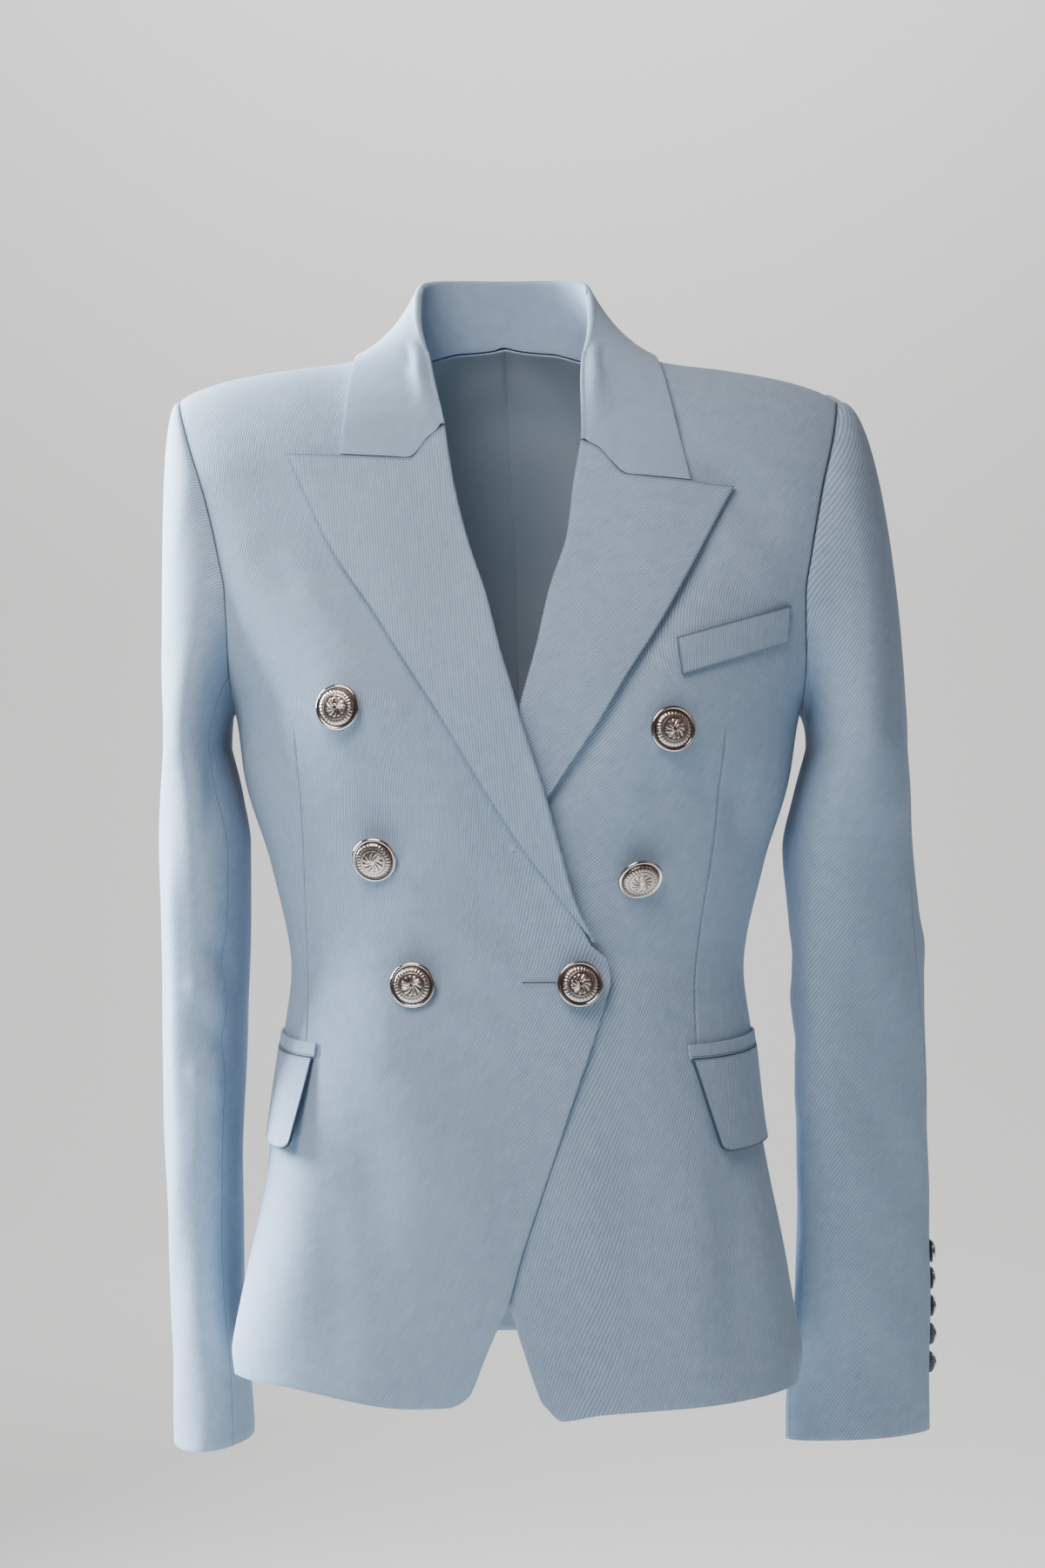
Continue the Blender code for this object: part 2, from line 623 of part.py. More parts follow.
def sleeve_grid(side, loop):
    """Rows of points from the armhole to the cuff."""
    lengths = [0]
    for a, b in zip(loop, loop[1:]):
        lengths.append(lengths[-1] + (b - a).length)
    bottom = min(range(len(loop)), key=lambda k: loop[k].z)
    shares = []
    for k, length in enumerate(lengths):
        if k <= bottom:
            shares.append(0.5 * length / lengths[bottom])
        else:
            shares.append(0.5 + 0.5 * (length - lengths[bottom]) / (lengths[-1] - lengths[bottom] + 8))
    first = SLEEVE_ROWS[0]
    rows = []
    for step in range(CAP_ROWS):
        t = (step / CAP_ROWS) ** 1.25
        row = []
        for start, share in zip(loop, shares):
            top, front = math.cos(2 * math.pi * share), math.sin(2 * math.pi * share)
            leave = Vector((side * 1.0, -0.22 * front, 0.18 * max(0, top) - 1.6 * max(0, -top)))
            leave = leave.normalized() * mix(16, HEAD_OUT[side], ease((top + 1) / 2))
            end = section_point(side, first, share)
            begin = start + Vector((side * SEAM, 0, 0))
            arrive = Vector((0, 0, -1)) * (end - begin).length
            row.append(begin * (1 + 2 * t) * (1 - t) ** 2 + end * t * t * (3 - 2 * t)
                       + leave * t * (1 - t) ** 2 - arrive * t * t * (1 - t))
        rows.append(row)
    for z in SLEEVE_ROWS:
        rows.append([section_point(side, z, share) for share in shares])
    return rows, shares


def ring_normals(rows, side):
    result = []
    for r, row in enumerate(rows):
        above, below = rows[max(0, r - 1)], rows[min(len(rows) - 1, r + 1)]
        line = []
        for c in range(len(row)):
            across = row[(c + 1) % len(row)] - row[c - 1]
            line.append(((below[c] - above[c]).cross(across) * -side).normalized())
        result.append(line)
    return result


def sleeve(side, loop, material, label):
    """Two cloth pieces, the wide top sleeve and the narrower under sleeve."""
    rows, shares = sleeve_grid(side, loop)
    normals = ring_normals(rows, side)
    count = len(loop)
    fore = min(range(count), key=lambda k: abs(shares[k] - FORE_SEAM[side]))
    hind = min(range(count), key=lambda k: abs(shares[k] - HIND_SEAM))
    top = [k % count for k in range(hind, count + fore + 1)]
    under = list(range(fore, hind + 1))
    for name, picks in (("top_sleeve", top), ("under_sleeve", under)):
        outer, inner = [], []
        for row, line in zip(rows, normals):
            points = [row[k].copy() for k in picks]
            ways = [line[k] for k in picks]
            points[0] += (points[1] - points[0]).normalized() * SEAM * 0.8
            points[-1] += (points[-2] - points[-1]).normalized() * SEAM * 0.8
            outer.append(points)
            inner.append([p - way * WALL for p, way in zip(points, ways)])
        sheet(f"{name}_{label}", outer, inner, material)


# Pockets
def pocket(side, material, label):
    def strip(name, start, end, top, bottom, slant, thickness, lift, rise, columns, rows):
        outer, inner = [], []
        for r in range(rows + 1):
            face, under = [], []
            for c in range(columns + 1):
                s, t = c / columns, r / rows
                turn = mix(start, end, s) + slant * t * (1 - s)
                z = mix(top, bottom, t) + rise * ease(s * 1.4)
                out = REST + lift * t * (1 - ease(s * 2.5)) + (0.9 if lift else 0) * t
                face.append(on_body(side, turn, z, out + thickness))
                under.append(on_body(side, turn, z, out))
            outer.append(face)
            inner.append(under)
        sheet(f"{name}_{label}", outer, inner, material)

    start, end = POCKET_FROM[side], POCKET_TO[side]
    strip("pocket_jet", start, end, JET["top"], JET["bottom"], 0, WALL, 0, JET["rise"], 9, 1)
    strip("pocket_flap", start + FLAP["inset"], end - FLAP["inset"], FLAP["top"], FLAP["bottom"],
          FLAP["slant"], FLAP["wall"], FLAP_LIFT[side], JET["rise"], 9, 3)


def breast_welt(material):
    outer, inner = [], []
    for r in range(3):
        face, under = [], []
        for c in range(7):
            (x0, z0, x1, z1), (x2, z2, x3, z3) = WELT
            s, t = c / 6, r / 2
            x = mix(mix(x0, x2, s), mix(x1, x3, s), t)
            z = mix(mix(z0, z2, s), mix(z1, z3, s), t)
            face.append(on_front(1, x, z, REST + WALL))
            under.append(on_front(1, x, z, REST))
        outer.append(face)
        inner.append(under)
    sheet("breast_welt", outer, inner, material)


# Buttons
def button(name, size, spot, facing, material):
    """A domed metal button on a short shank, turned about its own axis."""
    radius, height = size["radius"], size["height"]
    shape = bmesh.new()
    line = [shape.verts.new(Vector((radius * r, 0, height * h)) * MM) for r, h in size["profile"]]
    edges = [shape.edges.new(pair) for pair in zip(line, line[1:])]
    bmesh.ops.spin(shape, geom=line + edges, cent=(0, 0, 0), axis=(0, 0, 1), angle=2 * math.pi,
                   steps=size["turns"], use_merge=True)
    bmesh.ops.remove_doubles(shape, verts=shape.verts, dist=0.00001)
    bmesh.ops.recalc_face_normals(shape, faces=shape.faces)
    item = add_object(name, shape, material)
    item.rotation_mode = "QUATERNION"
    item.rotation_quaternion = facing.to_track_quat("Z", "Y")
    item.location = spot * MM


def front_buttons(material):
    for name, side, x, z, sideways, down, rest in FRONT_BUTTONS:
        turn = turn_at(side, x, z)
        normal = body_normal(side, turn, drop_at(turn, z))
        facing = (normal + Vector((math.radians(sideways), 0, math.radians(down)))).normalized()
        edge_lift = FRONT_BUTTON["radius"] * FRONT_BUTTON["profile"][1][0] * (facing - normal).length
        seat = on_front(side, x, z, rest) + normal * edge_lift
        button(name, FRONT_BUTTON, seat, facing, material)


def cuff_buttons(side, material, label):
    for k, z in enumerate(CUFF_BUTTON_HEIGHTS):
        share = CUFF_BUTTON_SHARE[side]
        spot = section_point(side, z, share)
        across = section_point(side, z, share + 0.01) - section_point(side, z, share - 0.01)
        down = section_point(side, z - 4, share) - section_point(side, z + 4, share)
        normal = (down.cross(across) * -side).normalized()
        button(f"cuff_button_{label}_{k + 1}", CUFF_BUTTON, spot + normal * 0.6, normal, material)


def main():
    for item in list(bpy.data.objects):
        bpy.data.objects.remove(item)
    cloth_paint = paint("cloth", CLOTH_COLOUR, 0.8)
    metal = paint("button_metal", METAL_COLOUR, 0.25, 1.0)
    for side, label, edge, hem in ((-1, "left", TOP_EDGE, TOP_HEM), (1, "right", UNDER_EDGE, UNDER_HEM)):
        front = front_panel(side, edge, hem, cloth_paint, "front_top" if side < 0 else "front_under")
        flank = side_panel(side, cloth_paint, f"side_{label}")
        back = back_panel(side, cloth_paint, f"back_{label}")
        sleeve(side, armhole_loop(front, flank, back), cloth_paint, label)
        pocket(side, cloth_paint, label)
        cuff_buttons(side, metal, label)
    lapel(-1, TOP_LAPEL, TOP_GORGE, cloth_paint, "lapel_top")
    lapel(1, UNDER_LAPEL, UNDER_GORGE, cloth_paint, "lapel_under")
    collar(cloth_paint)
    breast_welt(cloth_paint)
    front_buttons(metal)


main()
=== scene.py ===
# %% [markdown]
# # A women's double-breasted blazer, worn and hollow
# The blazer is a shell of eighteen cloth pieces with sixteen metal buttons. Lengths are in millimetres until
# a mesh is made. +Z is up and the front faces -Y, so the viewer's left is -X, called side -1, and its
# front is the top layer.

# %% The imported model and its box
import math

import bmesh
import bpy
import numpy as np
from mathutils import Matrix, Vector


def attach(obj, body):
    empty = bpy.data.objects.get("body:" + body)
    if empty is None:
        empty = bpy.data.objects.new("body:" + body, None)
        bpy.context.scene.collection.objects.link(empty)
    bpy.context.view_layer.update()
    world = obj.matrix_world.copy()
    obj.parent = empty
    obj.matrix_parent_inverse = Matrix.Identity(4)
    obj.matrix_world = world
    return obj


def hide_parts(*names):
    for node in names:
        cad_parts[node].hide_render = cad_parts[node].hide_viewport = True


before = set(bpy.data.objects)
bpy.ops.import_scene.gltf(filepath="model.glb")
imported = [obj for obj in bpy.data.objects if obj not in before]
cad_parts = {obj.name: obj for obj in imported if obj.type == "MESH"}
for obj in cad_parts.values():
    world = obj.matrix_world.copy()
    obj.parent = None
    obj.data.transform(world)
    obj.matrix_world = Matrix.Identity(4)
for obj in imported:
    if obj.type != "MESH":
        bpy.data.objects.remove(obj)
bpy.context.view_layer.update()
MM = 0.001

# %% [markdown]
# ## Camera
# The photograph was taken level with the waist, straight on. The lens is worked out from the blazer's size on
# the picture at 1.9 m.

# %% Camera
camera_data = bpy.data.cameras.new("camera")
camera_data.lens = 73.1
camera = bpy.data.objects.new("camera", camera_data)
camera.location = (0.003, -1.9, -0.257)
camera.rotation_euler = (math.radians(90), 0, 0)
bpy.context.scene.collection.objects.link(camera)
bpy.context.scene.camera = camera
print("camera at", tuple(round(v, 3) for v in camera.location), "lens", camera_data.lens)


# %% [markdown]
# ## Materials
# A twill is a field of fine parallel ribs. Each cloth piece carries a UV map in metres along its own grain,
# so one material draws ribs of the same pitch on every piece. Bump gives them height, and a slow noise keeps
# the yarn uneven. A texture image would do it too, but would repeat and blur.

# %% Helpers for materials
def new_material(name, colour, roughness, metallic=0.0):
    material = bpy.data.materials.new(name)
    material.use_nodes = True
    shader = material.node_tree.nodes["Principled BSDF"]
    shader.inputs["Base Color"].default_value = (*colour, 1)
    shader.inputs["Roughness"].default_value = roughness
    shader.inputs["Metallic"].default_value = metallic
    return material, material.node_tree, shader


def node(tree, kind, **settings):
    item = tree.nodes.new(kind)
    for key, value in settings.items():
        if key in item.inputs:
            item.inputs[key].default_value = value
        else:
            setattr(item, key, value)
    return item


def ramp(tree, source, stops):
    item = tree.nodes.new("ShaderNodeValToRGB")
    elements = item.color_ramp.elements
    while len(elements) < len(stops):
        elements.new(0.5)
    for element, (place, colour) in zip(elements, stops):
        element.position = place
        element.color = (*colour, 1) if len(colour) == 3 else colour
    tree.links.new(source, item.inputs[0])
    return item


# %% Twill cloth
RIB_PITCH = 0.0015
TWILL_ANGLE = 66            # degrees between the ribs and the weft
CLOTH_DARK = (0.18, 0.275, 0.40)
CLOTH_MID = (0.25, 0.365, 0.515)
CLOTH_LIGHT = (0.325, 0.45, 0.60)
# painted shade: seams, the dart and the edges of lapels, welt and flaps darken to this, for shadow in their
# gaps
SEAM_SHADE_COLOUR = (0.03, 0.055, 0.085)

twill, tree, shader = new_material("twill", CLOTH_MID, 0.82)
uv = node(tree, "ShaderNodeUVMap", uv_map="grain")
ribs_map = node(tree, "ShaderNodeMapping", Rotation=(0, 0, math.radians(90 - TWILL_ANGLE)))
tree.links.new(uv.outputs[0], ribs_map.inputs[0])
ribs = node(tree, "ShaderNodeTexWave", wave_type="BANDS", bands_direction="X", wave_profile="SIN",
            Scale=0.31416 / RIB_PITCH, Distortion=1.2, Detail=2.0)
ribs.inputs["Detail Scale"].default_value = 1.6
tree.links.new(ribs_map.outputs[0], ribs.inputs["Vector"])
streak_map = node(tree, "ShaderNodeMapping", Scale=(620, 95, 1))
tree.links.new(ribs_map.outputs[0], streak_map.inputs[0])
streaks = node(tree, "ShaderNodeTexNoise", Scale=1.0, Detail=3.0)
tree.links.new(streak_map.outputs[0], streaks.inputs["Vector"])
mottle = node(tree, "ShaderNodeTexNoise", Scale=120.0, Detail=4.0)
tree.links.new(uv.outputs[0], mottle.inputs["Vector"])
blend = node(tree, "ShaderNodeMix", data_type="FLOAT", Factor=0.42)
tree.links.new(ribs.outputs["Fac"], blend.inputs["A"])
tree.links.new(streaks.outputs["Fac"], blend.inputs["B"])
plain = node(tree, "ShaderNodeAttribute", attribute_name="plain")
weave = node(tree, "ShaderNodeMix", data_type="FLOAT", B=0.5)
tree.links.new(plain.outputs["Fac"], weave.inputs["Factor"])
tree.links.new(blend.outputs["Result"], weave.inputs["A"])
colour = ramp(tree, weave.outputs["Result"], [(0.22, CLOTH_DARK), (0.5, CLOTH_MID), (0.8, CLOTH_LIGHT)])
speckle = ramp(tree, mottle.outputs["Fac"], [(0.3, (0.93, 0.94, 0.95)), (0.7, (1.05, 1.04, 1.03))])
tint = node(tree, "ShaderNodeMix", data_type="RGBA", blend_type="MULTIPLY", Factor=1.0)
tree.links.new(colour.outputs[0], tint.inputs["A"])
tree.links.new(speckle.outputs[0], tint.inputs["B"])
# the seam attribute: how much painted shade of a groove or a gap each place takes
seam = node(tree, "ShaderNodeAttribute", attribute_name="seam")
seam_shading = node(tree, "ShaderNodeMix", data_type="RGBA")
seam_shading.inputs["B"].default_value = (*SEAM_SHADE_COLOUR, 1)
tree.links.new(seam.outputs["Fac"], seam_shading.inputs["Factor"])
tree.links.new(tint.outputs["Result"], seam_shading.inputs["A"])
tree.links.new(seam_shading.outputs["Result"], shader.inputs["Base Color"])
bump = node(tree, "ShaderNodeBump", Strength=0.4, Distance=0.0004)
tree.links.new(weave.outputs["Result"], bump.inputs["Height"])
tree.links.new(bump.outputs[0], shader.inputs["Normal"])
shader.inputs["Sheen Weight"].default_value = 0.08
shader.inputs["Sheen Roughness"].default_value = 0.5
shader.inputs["Specular IOR Level"].default_value = 0.25
print("twill of", RIB_PITCH * 1000, "mm pitch")

# %% Lining, thread and button metal
lining, tree, shader = new_material("lining", (0.20, 0.27, 0.34), 0.38)
shader.inputs["Sheen Weight"].default_value = 0.2
thread, tree, shader = new_material("thread", (0.30, 0.40, 0.50), 0.7)
# near-black threads: painted shade in the buttonhole's slit and along the join of each jet and flap
shade, tree, shader = new_material("shade_thread", (0.05, 0.08, 0.11), 0.8)

metal, tree, shader = new_material("button_metal", (0.46, 0.42, 0.39), 0.2, 1.0)
recess = node(tree, "ShaderNodeAttribute", attribute_name="recess")
# painted shade: the metal is drawn darker the deeper its relief lies, and in the groove inside the edge
recess_shade = ramp(tree, recess.outputs["Fac"], [(0.0, (0.60, 0.55, 0.52)), (0.5, (0.38, 0.34, 0.32)),
                                          (1.0, (0.07, 0.06, 0.055))])
tree.links.new(recess_shade.outputs[0], shader.inputs["Base Color"])
rough = ramp(tree, recess.outputs["Fac"], [(0.0, (0.13, 0.13, 0.13)), (1.0, (0.45, 0.45, 0.45))])
tree.links.new(rough.outputs[0], shader.inputs["Roughness"])
print("materials", [m.name for m in (twill, lining, thread, metal)])

# %% [markdown]
# ## Curves through tables
# The sizes that change along the blazer are short tables. A curve through each one eases between the rows
# without overshoot, so a panel never bulges where nothing was stated.


# %% Curves and small helpers
def curve(rows, column=1):
    """A function that eases between a table's rows. It takes numbers or arrays."""
    rows = sorted(rows)
    at = np.array([row[0] for row in rows], float)
    value = np.array([row[column] for row in rows], float)
    slope = np.diff(value) / np.diff(at)
    before, after = slope[:-1], slope[1:]
    tangent = np.concatenate([slope[:1], np.zeros(len(at) - 2), slope[-1:]])
    same = before * after > 0
    tangent[1:-1][same] = (2 * before * after)[same] / (before + after)[same]

    def value_at(x):
        x = np.clip(x, at[0], at[-1])
        k = np.clip(np.searchsorted(at, x, "right") - 1, 0, len(at) - 2)
        step = at[k + 1] - at[k]
        t = (x - at[k]) / step
        return (value[k] * (1 + 2 * t) * (1 - t) ** 2 + value[k + 1] * t * t * (3 - 2 * t)
                + step * (tangent[k] * t * (1 - t) ** 2 - tangent[k + 1] * t * t * (1 - t)))

    return value_at


def ease(t):
    """0 below 0, 1 above 1 and a smooth step between."""
    t = np.clip(t, 0, 1)
    return t * t * (3 - 2 * t)


def mix(a, b, t):
    return a + (b - a) * t


def unit(v):
    return v / np.linalg.norm(v, axis=-1, keepdims=True)


def point(x, y, z):
    return np.stack(np.broadcast_arrays(x, y, z), axis=-1).astype(float)


# %% [markdown]
# ## The body's surface
# The panels are one surface cut along seams. A place on it is named by its turn, the degrees round from the
# centre front, and its drop, the way down the cloth from the shoulder ridge. The outline at each height is a
# rounded rectangle with a front depth, a back depth and a half width. Over the shoulders it follows an arc.

# %% Tables of the body
WALL = 1.6                  # one cloth layer with its interfacing
REST = 0.45                 # the gap under a piece that lies on a panel
ROUND = 65                  # radius over which the shoulder turns down
ARC = ROUND * math.pi / 2
RIDGE_Y = 5
BODY = [
    # height, half width, depth to the front, depth to the back, middle of the depth
    (20, 226, 78, 90, 0), (-30, 222, 84, 96, 0), (-80, 214, 96, 106, 0), (-130, 205, 109, 112, 0),
    (-180, 184, 120, 108, 0), (-215, 168, 123, 102, 0), (-255, 161, 118, 95, -2), (-305, 146, 108, 89, -5),
    (-365, 134, 99, 87, -9), (-400, 138, 98, 93, -12), (-470, 145, 98, 114, -20), (-550, 160, 96, 136, -30),
    (-600, 169.5, 96, 148, -36), (-620, 172, 96, 150, -38),
]
half_width, front_depth, back_depth, middle_depth = (curve(BODY, k) for k in (1, 2, 3, 4))
FULLNESS = [(0, 2.35, 2.2), (-215, 2.35, 2.2), (-400, 2.3, 2.1), (-600, 2.3, 2.0)]
front_fullness, back_fullness = curve(FULLNESS, 1), curve(FULLNESS, 2)
lean = curve([(60, -9), (-25, -6), (-60, -4), (-120, -2), (-200, 0), (-300, 0)])
ridge = curve([(0, 30), (30, 21), (50, 7), (62, 0), (86, -4), (98, -6.5), (131, -10.5), (163, -16),
               (179, -20.5), (190, -25), (197, -30)])
armhole_out = curve([(-20, 198), (-30, 195), (-45, 191), (-64, 185.5), (-80, 180.5), (-98, 176),
                     (-125, 170.5),
                     (-148, 167), (-165, 167), (-182, 167.5), (-200, 168), (-215, 168)])
ARMPIT = -215
BUST = {"out": 85, "height": -205, "spread": 42, "rise": 8}
FRONT_SEAM, BACK_SEAM = 77, 124     # degrees round to the side panel and to the back panel
SEAM_TURN = -0.06                   # half the overlap of two edges sewn together, in degrees
CENTRE_OVERLAP = 0.08               # degrees by which each back passes the centre
OVERLAP = {"past": 62, "width": 50, "rise": 2.1, "lapel": 3.4, "top": -434, "fade": 70}
HEM_TUCK = {"depth": 4.5, "top": -576, "fade": 26, "turn": 90, "spread": 24}
SIDES = ((-1, "right", "left"), (1, "left", "right"))     # side, the wearer's word, the solids' word

top_edge = curve([(0, 68), (-30, 57), (-53, 42), (-85, 36), (-115, 29), (-149, 18), (-182, 10), (-205, 4),
                  (-216, -1), (-262, -16), (-286, -22.5), (-326, -34), (-348, -45), (-358, -50),
                  (-368, -51.5), (-379.5, -49), (-400, -43), (-438.5, -30), (-483, -15), (-523.5, -1.5),
                  (-544, 4), (-575, 17), (-596, 25.5), (-604, 30)])
under_edge = curve([(0, 56), (-30, 46), (-62, 37), (-84, 32), (-111.5, 29), (-135, 23.5), (-151, 17),
                    (-179, 10), (-207, 3), (-262, -14), (-300, -26), (-340, -42), (-358, -51), (-370, -57),
                    (-400, -49), (-450, -34), (-500, -19), (-546, -5), (-574, 4), (-597, 12), (-606, 16)])
top_hem = curve([(25.5, -594), (29, -601), (36, -604), (64, -605), (95, -602), (115, -599), (139, -597),
                 (172, -597)])
under_hem = curve([(12, -600), (16, -607), (22, -611), (46, -608), (71, -607), (103, -606), (136, -604),
                   (172, -600)])
SIDE_HEM, BACK_HEM = -598, -602
print("body tables:", len(BODY), "heights")


# %% The body's surface as functions
def outline(turn, z):
    """Distance out and depth of the body's outline, turn degrees round from the centre front."""
    across, along = np.sin(np.radians(turn)), np.cos(np.radians(turn))
    n = np.where(along > 0, front_fullness(z), back_fullness(z))
    depth = np.where(along > 0, -front_depth(z), back_depth(z))
    out = half_width(z) * np.sign(across) * np.abs(across) ** (2 / n)
    return out, middle_depth(z) + depth * np.abs(along) ** (2 / n)


def turn_at(side, x, z, behind=False):
    """The degrees round the body of the point at x, on its own side's front or back."""
    out = side * (x - lean(z)) / half_width(z)
    n = back_fullness(z) if behind else front_fullness(z)
    turn = np.degrees(np.arcsin(np.clip(np.sign(out) * np.abs(out) ** (n / 2), -1, 1)))
    return 180 - turn if behind else turn


def drop_at(turn, z):
    """How far down the cloth a height lies, measured over the shoulder's round from its ridge."""
    fall = ridge(np.abs(outline(turn, z)[0])) - z
    over = ROUND * np.arccos(np.clip(1 - np.maximum(0, fall) / ROUND, -1, 1))
    return np.where(fall < ROUND, over, ARC + fall - ROUND)


def height_at(turn, drop):
    """The height of a place that lies this far down the cloth."""
    fall = np.where(drop < ARC, ROUND * (1 - np.cos(drop / ROUND)), drop - ROUND * (math.pi / 2 - 1))
    z = -fall
    for _ in range(7):
        z = ridge(np.abs(outline(turn, z)[0])) - fall
    return z


def cloth(side, turn, drop):
    z = height_at(turn, drop)
    out, y = outline(turn, z)
    y = RIDGE_Y + (y - RIDGE_Y) * np.sin(np.minimum(math.pi / 2, drop / ROUND))
    away = ((np.abs(out) - BUST["out"]) ** 2 + (z - BUST["height"]) ** 2) / BUST["spread"] ** 2
    y = y - np.where(np.asarray(turn) < 90, BUST["rise"] * np.exp(-away / 2), 0)
    return point(lean(z) + side * out, y, z)


def body_normal(side, turn, drop):
    across = cloth(side, turn + 0.4, drop) - cloth(side, turn - 0.4, drop)
    down = cloth(side, turn, drop + 0.6) - cloth(side, turn, drop - 0.6)
    return unit(np.cross(down, across) * side)


def raised(side, turn, z):
    """How far the top front stands out where it lies over the other front and its lapel."""
    if side > 0:
        return 0
    x = lean(z) - outline(turn, z)[0]
    over = ease((x - under_edge(z) + OVERLAP["past"]) / OVERLAP["width"])
    rise = OVERLAP["rise"] + OVERLAP["lapel"] * ease((z - OVERLAP["top"]) / OVERLAP["fade"])
    return np.where(np.asarray(turn) > 60, 0, over * rise)


# %% [markdown]
# ## Creases
# Worn cloth has soft folds that start somewhere, swell and run out. Each row of a table is one of them: a
# ridge when its height is plus, a trough when it is minus, along a bowed line. They are part of the surface
# itself, so what lies on a panel follows them. A simulation would find its own folds, not the photograph's.

# %% Crease tables
LAPELS = {
    # share of the way down, roll line x and z, outer edge x and z, x outward on the own side
    -1: [(0.00, 41, -53, 131, -69), (0.09, 36, -85, 122, -90), (0.20, 28, -118, 104, -126),
         (0.32, 17.5, -151, 81, -160), (0.43, 9.5, -183, 64, -187), (0.54, -1, -216, 43, -219),
         (0.70, -16, -262, 16, -263), (0.80, -23, -288, -3, -292), (0.90, -33, -324, -24, -321),
         (0.97, -43, -345, -37, -339)],
    1: [(0.00, 36, -62, 124, -87), (0.09, 31.5, -88, 113, -106), (0.20, 28, -116, 97, -136),
        (0.32, 18, -147, 79, -168), (0.43, 10.5, -180, 61, -196), (0.54, 3, -207, 46, -221),
        (0.70, -13, -259, 20, -260), (0.80, -23, -290, 1, -290), (0.90, -36, -326, -18, -318),
        (0.97, -46, -350, -38, -340)],
}
lapel_roll = {side: curve([(row[2], row[1]) for row in LAPELS[side]]) for side in LAPELS}
lapel_edge = {side: curve([(row[4], row[3]) for row in LAPELS[side]]) for side in LAPELS}
LAPEL_VALLEY = {-1: (3.4, 30), 1: (2.4, 24)}    # depth and width of the dip beside and under each lapel
# from x, z to x, z, bow, half width, height
FRONT_CREASES = {
    -1: [
        (22, -366, -70, -318, 6, 9, 1.6), (18, -380, -92, -352, 5, 7, -1.3),
        (0, -392, -112, -372, 4, 9, 1.2),
        (14, -360, -30, -300, 4, 7, -1.2), (-8, -398, -84, -428, -5, 10, -1.2),
        (-30, -300, -96, -258, 5, 12, -1.4), (-128, -410, -136, -592, 6, 16, 2.0),
        (-84, -440, -74, -600, -5, 18, -1.8), (-30, -430, -26, -600, 4, 16, 1.6),
        (-110, -470, -104, -604, 4, 12, -1.2), (-140, -250, -146, -200, 3, 9, -1.6),
        (-116, -150, -150, -110, 4, 12, -1.0),
    ],
    1: [
        (-20, -372, 66, -330, 6, 9, 1.4), (-10, -388, 100, -352, 6, 8, -1.4),
        (10, -400, 116, -376, 4, 9, 1.2),
        (0, -352, 44, -290, -4, 8, -1.2), (60, -262, 122, -244, -7, 12, -2.2),
        (96, -438, 104, -600, 5, 16, 1.8), (60, -430, 52, -604, 4, 18, -1.8),
        (132, -430, 142, -592, 4, 14, 1.8),
        (118, -470, 122, -604, 4, 12, -1.4), (128, -300, 134, -240, 4, 9, -1.8),
        (96, -70, 150, -128, 8, 14, -2.4),
        (110, -104, 156, -160, 6, 12, 1.2),
    ],
}
# from degrees, z to degrees, z, bow, half width, height
BACK_CREASES = [
    (150, -300, 112, -352, 5, 9, 1.6), (160, -340, 118, -378, 5, 8, -1.5),
    (168, -372, 122, -398, 4, 8, 1.3),
    (100, -240, 92, -330, 4, 9, 1.4), (104, -420, 100, -596, 6, 16, 2.0),
    (128, -440, 134, -600, 5, 18, -2.0),
    (158, -430, 162, -600, 4, 18, 1.8), (112, -450, 112, -600, 4, 14, -1.6),
    (140, -110, 128, -190, 5, 14, 1.6),
    (152, -80, 134, -180, 5, 14, -1.6),
]
DEGREE = 2.5                # millimetres to a degree round the body
CREASE_STRENGTH = 1.25


def creases(table, a, b):
    """Height of the soft ridges and troughs of a table at places a, b."""
    height = np.zeros(np.broadcast(a, b).shape)
    for a0, b0, a1, b1, bow, width, rise in table:
        length = math.hypot(a1 - a0, b1 - b0)
        along_a, along_b = (a1 - a0) / length, (b1 - b0) / length
        along = ((a - a0) * along_a + (b - b0) * along_b) / length
        off = (b - b0) * along_a - (a - a0) * along_b - bow * 4 * along * (1 - along)
        fade = ease(along / 0.35) * ease((1 - along) / 0.4)
        height = height + CREASE_STRENGTH * rise * fade * np.exp(-(off / (width * (0.8 + 0.5 * along))) ** 2)
    return height


def valley(side, x, z):
    """The dip of a front towards its lapel's outer edge, which it passes under."""
    depth, width = LAPEL_VALLEY[side]
    out = side * (x - lean(z))
    near = ease((lapel_edge[side](z) + width - out) / width) * ease((out - lapel_roll[side](z) - 4) / 24)
    return -depth * near * ease((-95 - z) / 50) * ease((z + 350) / 50)


def body_relief(side, turn, z, x):
    round_way = [(a * DEGREE, b, c * DEGREE, d, e, f, g) for a, b, c, d, e, f, g in BACK_CREASES]
    front = creases(FRONT_CREASES[side], x, z) * ease((92 - turn) / 14)
    behind = creases(round_way, turn * DEGREE, z) * ease((turn - 84) / 10)
    slow = (0.35 * np.sin(x * 0.071 + z * 0.043 + side) + 0.3 * np.sin(x * 0.038 - z * 0.061 + 2 * side)
            + 0.18 * np.sin(x * 0.13 + z * 0.021))
    tuck = HEM_TUCK["depth"] * ease((HEM_TUCK["top"] - z) / HEM_TUCK["fade"]) ** 2
    tuck = tuck * np.exp(-((turn - HEM_TUCK["turn"]) / HEM_TUCK["spread"]) ** 2)
    return front + behind + slow * ease((-20 - z) / 60) - tuck


def on_drop(side, turn, drop, out=0.0):
    base = cloth(side, turn, drop)
    lift = out + raised(side, turn, base[..., 2]) + body_relief(side, turn, base[..., 2], base[..., 0])
    return base + body_normal(side, turn, drop) * np.asarray(lift)[..., None]


def on_body(side, turn, z, out=0.0):
    return on_drop(side, turn, drop_at(turn, z), out)


def on_front(side, x, z, out=0.0):
    return on_body(side, turn_at(side, x, z), z, out)


